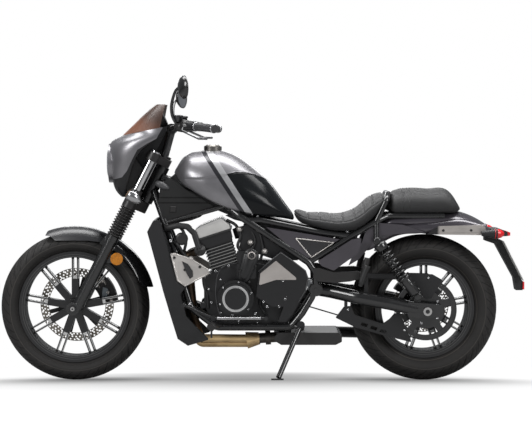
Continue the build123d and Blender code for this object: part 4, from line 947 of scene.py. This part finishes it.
PILLION = [(519, 717, 752, 74, 10), (535, 717, 790, 92, 18), (577, 718, 819, 107, 24),
           (612, 719, 824, 113, 26), (700, 719, 822, 115, 26), (798, 719, 808, 103, 24),
           (844, 719, 748, 74, 10)]
BAND, BAND_DEEP = (595, 622), 2.6
SLIT_AT, SLIT_FROM, SLIT_TO, SLIT_DEEP = 0.80, (640, 650), (762, 772), 3.2
grid, low, top, x = pad_surface(PILLION, 200, caps=(0.14, 0.12))
share = (grid[..., 2] - low[:, None]) / (top - low)[:, None]
bands = sum(np.exp(-((grid[..., 0] - at) / 2.2) ** 2) for at in BAND) * rounded_step(share, 0.05, 0.15)
slit = np.exp(-((share - SLIT_AT) / 0.03) ** 2) * rounded_step(grid[..., 0], *SLIT_FROM)
slit = slit * (1 - rounded_step(grid[..., 0], *SLIT_TO))
grid = dent(grid, BAND_DEEP * bands + SLIT_DEEP * slit)
pillion_seat = surface("pillion_cushion", grid, "chassis", "seat_cover")
dress(leather, pillion_seat)
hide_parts("pillion_seat")
rows = []
for at in (BAND[0] - 4, BAND[0] + 4, BAND[1] - 4, BAND[1] + 4):
    row = int(np.argmin(np.abs(x - at)))
    rows.append(cross_seam(grid, row, np.arange(FOOT_COLS + 4, TOP_TO + 18)))
rows += [thread(line[40:-60], lift[40:-60]) for line, lift in seam_lines(grid, SLIT_AT, (-5.0, 5.0))]
pillion_thread = stitches("pillion_seat_thread", rows)
print("stitches", len(rider_thread.data.polygons) // 8 + len(pillion_thread.data.polygons) // 8)


# %% [markdown]
# ## Lamps, mirrors and the clock
# A lens is a shallow dome over its housing, turned about the lamp's own axis. The front indicators
# are bullets with the lens forward, the rear ones cones with the lens behind, and the mirrors hold
# a flat silvered disc a little below their rims.

# %% Lamps and glasses
SIGNAL_F, SIGNAL_DIR = np.array([-560.0, 132, 803]), np.array([0.8, 0.1, -0.59])
BULLET = [(0, 0), (0, 22), (3, 24.5), (14, 26), (28, 25), (42, 20), (54, 12), (61, 5), (63, 0)]
FRONT_DOME = [(0.5, 0), (0.5, 21.5), (-1, 21.5), (-5, 18), (-8, 10), (-9, 0)]
stem = curve([fork(206, 4, 124), fork(203, 10, 130), SIGNAL_F + SIGNAL_DIR * 18], 12)
bullets = [lathe(BULLET, SIGNAL_F, SIGNAL_DIR), pipe(stem, 7)]
housings = joined("front_indicator_bodies", both_sides(bullets), "steering", "dark_plastic")
dress(signal_shell, housings)
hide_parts("front_signals")
domes = both_sides([lathe(FRONT_DOME, SIGNAL_F, SIGNAL_DIR)])
dress(signal_lens, joined("front_indicator_lenses", domes, "steering", "amber"))

SIGNAL_R = (917, 168, 638)
REAR_DOME = [(55, 0), (55, 21.5), (66, 21), (82, 16.5), (92, 9), (95, 0)]
domes = both_sides([lathe(REAR_DOME, SIGNAL_R, (1, 0, 0))])
dress(red, joined("rear_indicator_lenses", domes, "chassis", "amber"))

MIRROR_NEAR, LOOK_NEAR = (-322, -352, 1243), (0.92, 0.38, 0.05)
MIRROR_FAR, LOOK_FAR = (-360, 352, 1215), (0.92, -0.39, 0.05)
GLASS = [(3.1, 0), (3.1, 45.2), (4.2, 45.2), (4.6, 44), (4.6, 0)]
discs = [lathe(GLASS, MIRROR_NEAR, LOOK_NEAR, 64), lathe(GLASS, MIRROR_FAR, LOOK_FAR, 64)]
dress(mirror_glass, joined("mirror_glasses", discs, "steering", "bright_steel"))

FACE = [(13.1, 0), (13.1, 36.6), (15, 36.6), (15.4, 30), (15.6, 0)]
dress(dial, surface("clock_face", lathe(FACE, CLOCK, CLOCK_DIR, 64), "steering", "dark_plastic"))

LAMP_RIM = [(72, 82), (80, 81.5), (82, 79), (80, 76.5), (72, 76.5), (70, 79)]
rim = lathe(LAMP_RIM, (-566, 0, LAMP[2]), (-1, 0, 0), 72)
dress(lamp_silver, surface("headlamp_bezel", rim, "steering", "dark_plastic", close_rows=True))

# %% [markdown]
# ## Bolts and nuts
# Socket heads hold the covers, plates and clamps. One function turns a head with its dished socket
# about any axis. Each group of bolts is one piece, and its line in the table says where it sits.

# %% Fasteners
def head(at, axis, r, tall):
    """A round head with a chamfer and a socket sunk in it."""
    return lathe([(-0.5, 0), (-0.5, r), (tall - 1, r), (tall, r - 1), (tall, 0.55 * r),
                  (tall * 0.35, 0.5 * r), (tall * 0.35, 0)], at, axis, 14)


def ring_of(x, z, y, radius, count, start=0.0):
    """Places evenly round a line across the machine."""
    a = np.radians(start) + np.arange(count) * 2 * math.pi / count
    return [(x + radius * math.cos(k), y, z + radius * math.sin(k)) for k in a]


def on_plane(places, y):
    """(x, z) pairs as points on one y plane."""
    return [(x, y, z) for x, z in places]


def fasteners(name, places, axis, body, finish, r=5.0, tall=4.0, mirror=False):
    """One piece from a row of heads, mirrored to the other side where asked."""
    grids = [head(p, axis, r, tall) for p in places]
    dress(finish, joined(name, both_sides(grids) if mirror else grids, body, "bright_steel"))


LEFT, RIGHT = (0, -1, 0), (0, 1, 0)
REAR_XZ, FRONT_XZ = REAR_AXLE[[0, 2]], FRONT_AXLE[[0, 2]]
CASE = [(-176, 440), (-176, 300), (-100, 262), (-20, 258), (150, 452), (30, 492), (-60, 496)]
LOW = [(-226, -108, 402), (-214, -108, 346), (20, -130, 330), (70, -130, 330), (96, -130, 362),
       (4, -130, 350), (-30, -130, 300), (-196, -108, 478), (-142, -108, 500), (36, -130, 452),
       (86, -130, 440)]
GUARD = [(372, -125, 458), (700, -125, 448), (360, -131, 316), (600, -131, 228)]
CLAMP = [fork(s, -22, FORK_Y + 6) for s in (4, 180, 224)]
FILLER_CAP, FILLER_TOP, FILLER_R = (-211, 0), 1006.2, 24
turns = np.arange(6) * math.pi / 3
FILLER = [(FILLER_CAP[0] + FILLER_R * math.cos(k), FILLER_R * math.sin(k), FILLER_TOP) for k in turns]
# name, places, axis, body, finish, radius, height, mirrored to the other side
for row in (
        ("alternator_bolts", ring_of(*ALTERNATOR, -166, 69.5, 6, 20), LEFT, "chassis", bright_steel, 4.5),
        ("clutch_bolts", ring_of(40, 395, 150, 81, 8, 10), RIGHT, "chassis", bright_steel, 4.5),
        ("shroud_bolts", on_plane([(-325, 485), (-262, 497), (-369, 536)], 154), RIGHT, "chassis",
         satin_black, 6.0, 4.0, True),
        ("strut_bolts", [(761, 127, 649), (878, 127, 650)], RIGHT, "chassis", satin_black, 5.5, 4.0, True),
        ("frame_bolts", [(-385, 128.3, 605), (-306, 128.3, 340), (214, 130, 490)], RIGHT, "chassis",
         bright_steel, 6.5, 5.0, True),
        ("guard_bolts", GUARD, LEFT, "chassis", bright_steel),
        ("pulley_bolts", ring_of(*REAR_XZ, -109.5, 60, 5, 36), LEFT, "rear_wheel", bright_steel, 6.0, 5.0),
        ("rear_disc_bolts", ring_of(*REAR_XZ, 103, 34, 5), RIGHT, "rear_wheel", bright_steel, 5.0, 3.0),
        ("front_disc_bolts", ring_of(*FRONT_XZ, 63, 33, 5), RIGHT, "front_wheel", bright_steel, 5.0, 3.0),
        ("filler_cap_screws", FILLER, (0, 0, 1), "chassis", satin_black, 2.6, 1.6),
        ("case_bolts", on_plane(CASE, -108), LEFT, "chassis", bright_steel, 4.5),
        ("low_bolts", LOW, LEFT, "chassis", bright_steel, 5.5, 24.0),
        ("caliper_bolts", on_plane([(-690, 420), (-664, 372), (-650, 340)], 40), LEFT, "steering", alloy,
         7.0, 5.0),
        ("clamp_bolts", CLAMP, -AHEAD, "steering", bright_steel, 4.5, 5.0, True)):
    fasteners(*row)

# %% [markdown]
# ## Plates, pods and beads
# A plate is its outline in x and z, carried across the machine between two y planes, with edges that
# draw in a little. A pod is a plate whose outline goes round two circles. Unless a line says
# otherwise, a piece rides on the chassis.

# %% Plate shapes
def plate(outline, y0, y1, edge=2.5):
    """Four rings of one outline: drawn in by `edge` at both faces, full just inside them."""
    p = np.asarray(outline, float)
    way = p.mean(0) - p
    inner = p + way / np.linalg.norm(way, axis=1, keepdims=True) * edge
    lip = math.copysign(min(edge, abs(y1 - y0) * 0.4), y1 - y0)
    rings = [(inner, y0), (p, y0 + lip), (p, y1 - lip), (inner, y1)]
    return np.stack([np.stack([q[:, 0], np.full(len(q), float(y)), q[:, 1]], -1) for q, y in rings])


def soft_piece(name, grids, finish, body="chassis"):
    """Round shapes as one smooth piece."""
    piece = joined(name, grids, body, "dark_plastic")
    dress(finish, piece)
    return piece


def flat_piece(name, grids, finish, body="chassis"):
    """Plates as one piece with flat faces."""
    faces = soft_piece(name, grids, finish, body).data.polygons
    faces.foreach_set("use_smooth", [False] * len(faces))


def pod(a, b, ra, rb, y0, y1, edge, n=24):
    """A plate round two circles in x and z."""
    a, b = np.asarray(a, float), np.asarray(b, float)
    turn = math.atan2(*(b - a)[::-1])
    t = np.linspace(math.pi / 2, 3 * math.pi / 2, n // 2) + turn
    ring = lambda c, r, t: c + r * np.stack([np.cos(t), np.sin(t)], -1)
    return plate(np.concatenate([ring(a, ra, t), ring(b, rb, t + math.pi)]), y0, y1, edge)


# %% [markdown]
# ## Behind the nose and under the tank
# Dark infill panels close the nose to the fork legs, a plate closes the slit under the tank, and
# each front panel carries a grey teardrop scoop and a small catch.

# %% Infill
NOSE_INFILL = [(-416, 1079), (-454, 1028), (-513, 985), (-555, 918), (-581, 867), (-596, 850),
               (-590, 806), (-568, 800), (-534, 850), (-454, 969), (-403, 1070)]
HEADSTOCK = [(-432, 1074), (-386, 1064), (-392, 985), (-448, 962), (-476, 1000)]
UNDER_TANK = [(-398, 862), (-372, 884), (-300, 838), (-200, 772), (-120, 722), (-118, 700),
              (-205, 735), (-300, 775)]
CATCH = [(-392, 722), (-366, 722), (-364, 746), (-388, 750)]
SCOOP = [(-32, 0), (-29, 8), (-18, 13), (0, 15), (18, 12), (30, 6), (34, 0)]
flat_piece("nose_infill", both_sides([plate(NOSE_INFILL, -70, -62)]), dark_plastic, "steering")
flat_piece("headstock_cover", [plate(HEADSTOCK, -34, 34)], dark_plastic, "steering")
flat_piece("tank_underlay", [plate(UNDER_TANK, -48, 48)], dark_plastic)
scoop_grey = plain("scoop_grey", (0.075, 0.075, 0.078), 0.4, grain=1500)
soft_piece("panel_scoops", both_sides([lathe(SCOOP, (-424, -72, 836), (0.91, 0, -0.41))]), scoop_grey)
flat_piece("panel_catches", both_sides([plate(CATCH, -72, -77)]), satin_black)

# %% [markdown]
# ## Mirrors
# Both mirrors are turned inwards to the rider. The stalks rise nearly upright from the switch
# clusters and lean back only at the head.

# %% Mirror heads and stalks
SHELL = [(-20, 0), (-18, 18), (-11, 36), (-1, 47), (5, 49), (6, 46), (3, 45.5), (3, 0)]
NEAR_STALK = [(-352, -236, 1092), (-370, -248, 1128), (-373, -275, 1168), (-363, -305, 1209),
              (-350, -326, 1235), (-334, -344, 1244)]
FAR_STALK = [(-360, 236, 1092), (-388, 248, 1124), (-394, 276, 1160), (-388, 308, 1192),
             (-374, 340, 1212)]
grids = []
for at, look, stalk in ((MIRROR_NEAR, LOOK_NEAR, NEAR_STALK), (MIRROR_FAR, LOOK_FAR, FAR_STALK)):
    grids += [lathe(SHELL, at, look, 48), pipe(curve(stalk, 30), np.linspace(8, 5, 30))]
mirror_set = soft_piece("mirror_heads", grids, black_paint, "steering")
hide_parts("mirrors")

# %% [markdown]
# ## Hand controls
# Inboard of each grip sit a switch box, a fluid cup with its cap, and the lever's perch. Bright
# rings end the grips.

# %% Controls
GRIP_OUT, GRIP_WAY = np.array([-195.0, -400, 1075]), np.array([0.645, -0.760, -0.078])
BOX = [(-22, 0), (-22, 15), (-17, 21), (14, 22), (22, 17), (24, 0)]
CUP = [(-12, 0), (-12, 15), (8, 16), (10, 19), (15, 19), (17, 15), (17, 0)]
COLLAR = [(-3, 0), (-3, 18.5), (3, 18.5), (3, 0)]


def on_grip(profile, back, lift=(0, 0, 0), way=GRIP_WAY):
    """A turned shape `back` mm inboard of the grip's outer end, on both sides."""
    return lathe(profile, GRIP_OUT - GRIP_WAY * back + np.asarray(lift, float), way)


boxes = [on_grip(BOX, 190), on_grip(BOX, 214, (-6, 0, -8))]
soft_piece("switch_boxes", both_sides(boxes), satin_black, "steering")
cups = [on_grip(CUP, 205, (-18, 0, 24), (0, 0, 1))]
soft_piece("fluid_cups", both_sides(cups), gloss_plastic, "steering")
collars = [on_grip(COLLAR, 118), on_grip(COLLAR, 4)]
soft_piece("grip_collars", both_sides(collars), bright_steel, "steering")

# %% [markdown]
# ## Engine furniture
# What surrounds a real engine makes it look like one: the throttle body and its hoses, a horn,
# the thermostat, a coil, a pump cover with its bolts, and the round sprocket cover.

# %% Turned pieces on the engine
DRUM = [(0, 0), (0, 25), (9, 25), (12, 22), (12, 9), (15, 7), (15, 0)]
HORN = [(0, 0), (0, 20), (6, 27), (10, 27), (13, 18), (13, 0)]
THROTTLE = [(-34, 0), (-34, 22), (-20, 24), (-18, 29), (-10, 29), (-8, 23), (16, 22), (20, 27),
            (30, 27), (34, 20), (34, 0)]
soft_piece("thermostat", [lathe(DRUM, (-262, -118, 566), LEFT)], satin_black)
soft_piece("horn", [lathe(HORN, (-340, -98, 612), LEFT)], satin_black)
soft_piece("throttle_body", [lathe(THROTTLE, (-88, -62, 640), (0.95, 0, 0.3))], dark_plastic)

# %% [markdown]
# The hoses are short and stiff, and each is held at both ends. The pump cover is two pods and a
# round cap, one on the other, and the sprocket cover is turned.

# %% Hoses, coil, pump and sprocket cover
HOSE_R = 6.5
HOSES = [[(-150, -70, 690), (-112, -84, 668), (-92, -92, 628), (-104, -96, 584), (-92, -96, 560)],
         [(-128, -60, 706), (-80, -72, 690), (-48, -84, 650), (-30, -92, 606), (-44, -96, 566)],
         [(-60, -60, 700), (-24, -76, 668), (-6, -90, 620), (2, -96, 570), (-8, -100, 520)],
         [(-350, -96, 664), (-332, -104, 640), (-322, -104, 600), (-330, -96, 560)],
         [(-372, -100, 600), (-350, -112, 580), (-332, -110, 548), (-300, -104, 520),
          (-268, -100, 470)],
         [(20, -96, 470), (28, -116, 440), (6, -118, 400), (-10, -118, 340), (10, -118, 300)],
         [(-250, -104, 470), (-246, -108, 420), (-232, -108, 370), (-228, -108, 318)]]
COIL = [(-156, 708), (-66, 730), (-38, 704), (-60, 676), (-118, 690)]
PORT = [(0, 0), (0, 11), (8, 12), (10, 8), (16, 7), (16, 0)]
PORTS = [(-96, -90, 652), (-50, -94, 596), (-300, -104, 528), (10, -112, 560)]
PUMP_CAP = [(0, 0), (0, 17), (7, 17), (10, 13), (10, 0)]
PUMP_BOLTS = [(-72, 556), (-22, 556), (-28, 500), (-94, 480), (-100, 436), (-54, 434)]
SPROCKET = [(0, 0), (0, 47), (10, 46), (13, 42), (13, 37), (9, 35), (9, 16), (13, 14), (13, 0)]
soft_piece("engine_hoses", [pipe(curve(h, 40), HOSE_R) for h in HOSES], rubber)
flat_piece("ignition_coil", [plate(COIL, -66, -24, 4)], cast_black)
soft_piece("hose_joints", [lathe(PORT, at, LEFT) for at in PORTS], alloy)
pump = [pod((-48, 540), (-78, 452), 34, 25, -128, -146, 5),
        pod((-50, 538), (-76, 458), 22, 14, -145, -151, 4),
        lathe(PUMP_CAP, (-45, -146, 545), LEFT)]
soft_piece("pump_cover", pump, covers)
fasteners("pump_bolts", on_plane(PUMP_BOLTS, -146), LEFT, "chassis", satin_black, 4.5)
soft_piece("sprocket_cover", [lathe(SPROCKET, (50, -128, 392), LEFT, 56)], black_paint)

# %% [markdown]
# Ribs and edges are beads: thin round bars along a line that lies on the casting.

# %% Ribs, liner, caliper and shroud edges
SIDE_RIB = [(-16, 477), (30, 520), (77, 557), (130, 520), (180, 482), (191, 447), (180, 396), (150, 346)]
CASE_RIB = [(-150, 264), (-182, 300), (-196, 380), (-188, 462), (-150, 502), (-60, 512), (20, 500)]
LINER = [(-232, 598), (-131, 624), (-112, 536), (-116, 486), (-214, 484)]
SLOT = [(-338, 522), (-312, 510), (-292, 480), (-290, 456), (-304, 446), (-318, 470)]
SHROUD_EDGE = [(-378, 549), (-366, 551), (-294, 527), (-229, 488), (-224, 470), (-322, 418),
               (-353, 438), (-378, 545)]
CALIPER = [(-692, 350), (-668, 346), (-662, 388), (-686, 396)]
PIN, PINS = [(0, 0), (0, 4), (34, 4), (34, 0)], [(-672, 404), (-700, 392)]
bead = lambda line, y, r: pipe(np.asarray(on_plane(line, y), float), r, 8)
soft_piece("side_cover_rib", [bead(SIDE_RIB, -153, 2.0)], scoop_grey)
soft_piece("case_rib", [pipe(curve(on_plane(CASE_RIB, -109), 40), 2.6, 8)], scoop_grey)
caliper_grey = plain("caliper_grey", (0.20, 0.23, 0.25), 0.35, metal=0.5, grain=1500)
flat_piece("caliper_plate", [plate(CALIPER, 41, 37, 2)], caliper_grey, "steering")
pins = [lathe(PIN, at, (-0.5, 0, 0.86)) for at in on_plane(PINS, 39)]
soft_piece("caliper_pins", pins, alloy, "steering")
flat_piece("cylinder_liner", [plate(LINER, -109, -60)], cast_black)
flat_piece("shroud_slots", both_sides([plate(SLOT, -151.5, -155.5, 1.5)]), gloss_plastic)
soft_piece("shroud_edges", both_sides([bead(SHROUD_EDGE, -154.5, 3.0)]), alloy)

# %% [markdown]
# ## Side panels and tail
# A gloss black inlay in a thin bright frame sits on each triangular side panel. The rear mudguard
# is crowned under the passenger's seat, and the passenger's foot pegs are folded up.

# %% Side inlays, mudguard crown and pegs
INLAY = [(146, 612), (290, 596), (206, 544)]
INLAY_FRAME = np.array([(140, 616), (300, 598), (206, 536), (140, 616)], float)
flat_piece("side_inlays", both_sides([plate(INLAY, -136, -139.5, 3)]), gloss_plastic)
along = np.linspace(0, 3, 49)
line = np.stack([np.interp(along, range(4), INLAY_FRAME[:, k]) for k in (0, 1)], -1)
soft_piece("side_inlay_frames", both_sides([bead(line, -138.0, 2.2)]), alloy)

# x, low edge, top, half width, edge
CROWN = [(488, 650, 681, 60, 20), (530, 650, 712, 88, 30), (600, 652, 722, 98, 34),
         (720, 656, 727, 100, 34), (834, 650, 725, 98, 34), (900, 642, 702, 94, 30),
         (950, 632, 672, 86, 26), (978, 622, 650, 72, 20)]
crown = surface("mudguard_crown", pad_surface(CROWN, 120, caps=(0.08, 0.05))[0], "chassis",
                "dark_plastic")
dress(violet_black, crown)
PEG = [(409, -176, 418), (414, -177, 432), (426, -179, 468), (440, -181, 504)]
peg_r = 9 + 4 * rounded_step(np.linspace(0, 1, 24), 0.15, 0.4)
soft_piece("passenger_pegs", both_sides([pipe(curve(PEG, 24), peg_r)]), rubber)
# %% [markdown]
# ## A plain studio
# The machine stands on a white sheet under one broad soft lamp, with two softer ones on the camera's
# side. The sheet and the room look plain white to the camera, while the light that falls on the
# machine stays at a moderate level, so the dark parts keep their shape. The shade on the sheet is
# painted, for camera rays only: a wide pool under the machine and a deeper one under each wheel.
# The pools are long across the machine, because the camera sees the sheet from just above it.

# %% Room
def white_room(level, tint=(0.92, 0.95, 1.0)):
    """A room that lights gently but looks white to the camera and in what is seen through glass."""
    world = bpy.data.worlds.new("room")
    bpy.context.scene.world = world
    world.use_nodes = True
    tree = world.node_tree
    tree.nodes.clear()
    kinds = ("LightPath", "Math", "Background", "Background", "MixShader", "OutputWorld")
    rays, seen, lit, white, mix, out = (tree.nodes.new("ShaderNode" + k) for k in kinds)
    seen.operation = "MAXIMUM"
    lit.inputs["Color"].default_value = (*tint, 1)
    lit.inputs["Strength"].default_value = level
    white.inputs["Color"].default_value = (1, 1, 1, 1)
    for source, target in (
            (rays.outputs["Is Camera Ray"], seen.inputs[0]),
            (rays.outputs["Is Transmission Ray"], seen.inputs[1]), (seen.outputs[0], mix.inputs[0]),
            (lit.outputs[0], mix.inputs[1]), (white.outputs[0], mix.inputs[2]),
            (mix.outputs[0], out.inputs[0])):
        tree.links.new(source, target)


# %% Floor and its shade
ROOM_LEVEL = 0.19
FLOOR = 24.0                    # half the sheet's side, m
BLACK, WHITE = (0.0, 0.0, 0.0), (1.0, 1.0, 1.0)
POOL_X, POOL_Y = -0.06, 0.1     # middle of the wide pool, m
POOL_WIDE, POOL_NEAR, POOL_FAR = 1.75, 4.9, 12.9
WHEEL_WIDE, WHEEL_LONG = 0.5, 2.6
POOL_DARK, WHEEL_DARK = 0.72, 0.42
white_room(ROOM_LEVEL)
sheet = Finish("floor_sheet", (0.45, 0.45, 0.45), 0.95)
eye_ray = sheet.node("LightPath", out="Is Camera Ray")
x, y = (sheet.node("SeparateXYZ", {"Vector": sheet.place}, out=k) for k in (0, 1))


def pool(middle, wide, long):
    """1 in the middle of an ellipse, falling smoothly to 0 at its edge."""
    side, reach = (x - middle) / wide, (y - POOL_Y) / long
    return (side * side + reach * reach).op("SQRT").step(1.0, 0.0)


shade = pool(POOL_X, POOL_WIDE, POOL_NEAR + y.above(POOL_Y) * (POOL_FAR - POOL_NEAR)) * POOL_DARK
for wheel in (FRONT_AXLE, REAR_AXLE):
    shade = shade + pool(wheel[0] / 1000, WHEEL_WIDE, WHEEL_LONG) * WHEEL_DARK
painted = sheet.mixed(1.0 - shade, BLACK, WHITE)
sheet.set(Base_Color=sheet.mixed(eye_ray, (0.36, 0.36, 0.36), (0.05, 0.05, 0.05)),
          Emission_Color=sheet.mixed(eye_ray, BLACK, painted), Emission_Strength=1.0)
floor_mesh = bpy.data.meshes.new("floor")
corners = [(-FLOOR, -FLOOR, 0), (FLOOR, -FLOOR, 0), (FLOOR, FLOOR, 0), (-FLOOR, FLOOR, 0)]
floor_mesh.from_pydata(corners, [], [(0, 1, 2, 3)])
floor_mesh.materials.append(sheet.material)
floor = bpy.data.objects.new("floor", floor_mesh)
bpy.context.scene.collection.objects.link(floor)


# %% Lamps
def soft_lamp(name, where, aim, size, watts):
    """A rectangular lamp, size in m, turned to face a point."""
    data = bpy.data.lights.new(name, "AREA")
    data.shape, data.size, data.size_y, data.energy = "RECTANGLE", *size, watts
    lamp = bpy.data.objects.new(name, data)
    bpy.context.scene.collection.objects.link(lamp)
    lamp.location = where
    lamp.rotation_euler = (Vector(aim) - Vector(where)).to_track_quat("-Z", "Y").to_euler()


soft_lamp("overhead", (0, -0.1, 3.2), (0, 0, 0.5), (4.6, 1.3), 150)
soft_lamp("front_left", (-3.0, -3.2, 2.3), (-0.4, 0, 0.6), (1.4, 2.0), 112)
soft_lamp("rear_left", (3.2, -3.0, 2.3), (0.5, 0, 0.6), (1.4, 2.0), 96)
soft_lamp("far_side", (0, 3.6, 2.6), (0, 0, 0.6), (3.0, 1.2), 40)

# %% [markdown]
# ## The camera
# A long lens from the machine's left, seven metres away and square to its upright middle plane.

# %% Camera
EYE, TARGET = (-26, -7200, 1070), (16, 0, 686)
FOCAL_PX, IMAGE_W, SENSOR = 1686, 532, 36
camera_data = bpy.data.cameras.new("camera")
camera_data.sensor_width = SENSOR
camera_data.lens = FOCAL_PX / IMAGE_W * SENSOR
camera = bpy.data.objects.new("camera", camera_data)
bpy.context.scene.collection.objects.link(camera)
eye, target = parked(EYE), parked(TARGET)
camera.location = eye
camera.rotation_euler = Vector(target - eye).to_track_quat("-Z", "Y").to_euler()
bpy.context.scene.camera = camera
bpy.context.scene.view_settings.view_transform = "Standard"
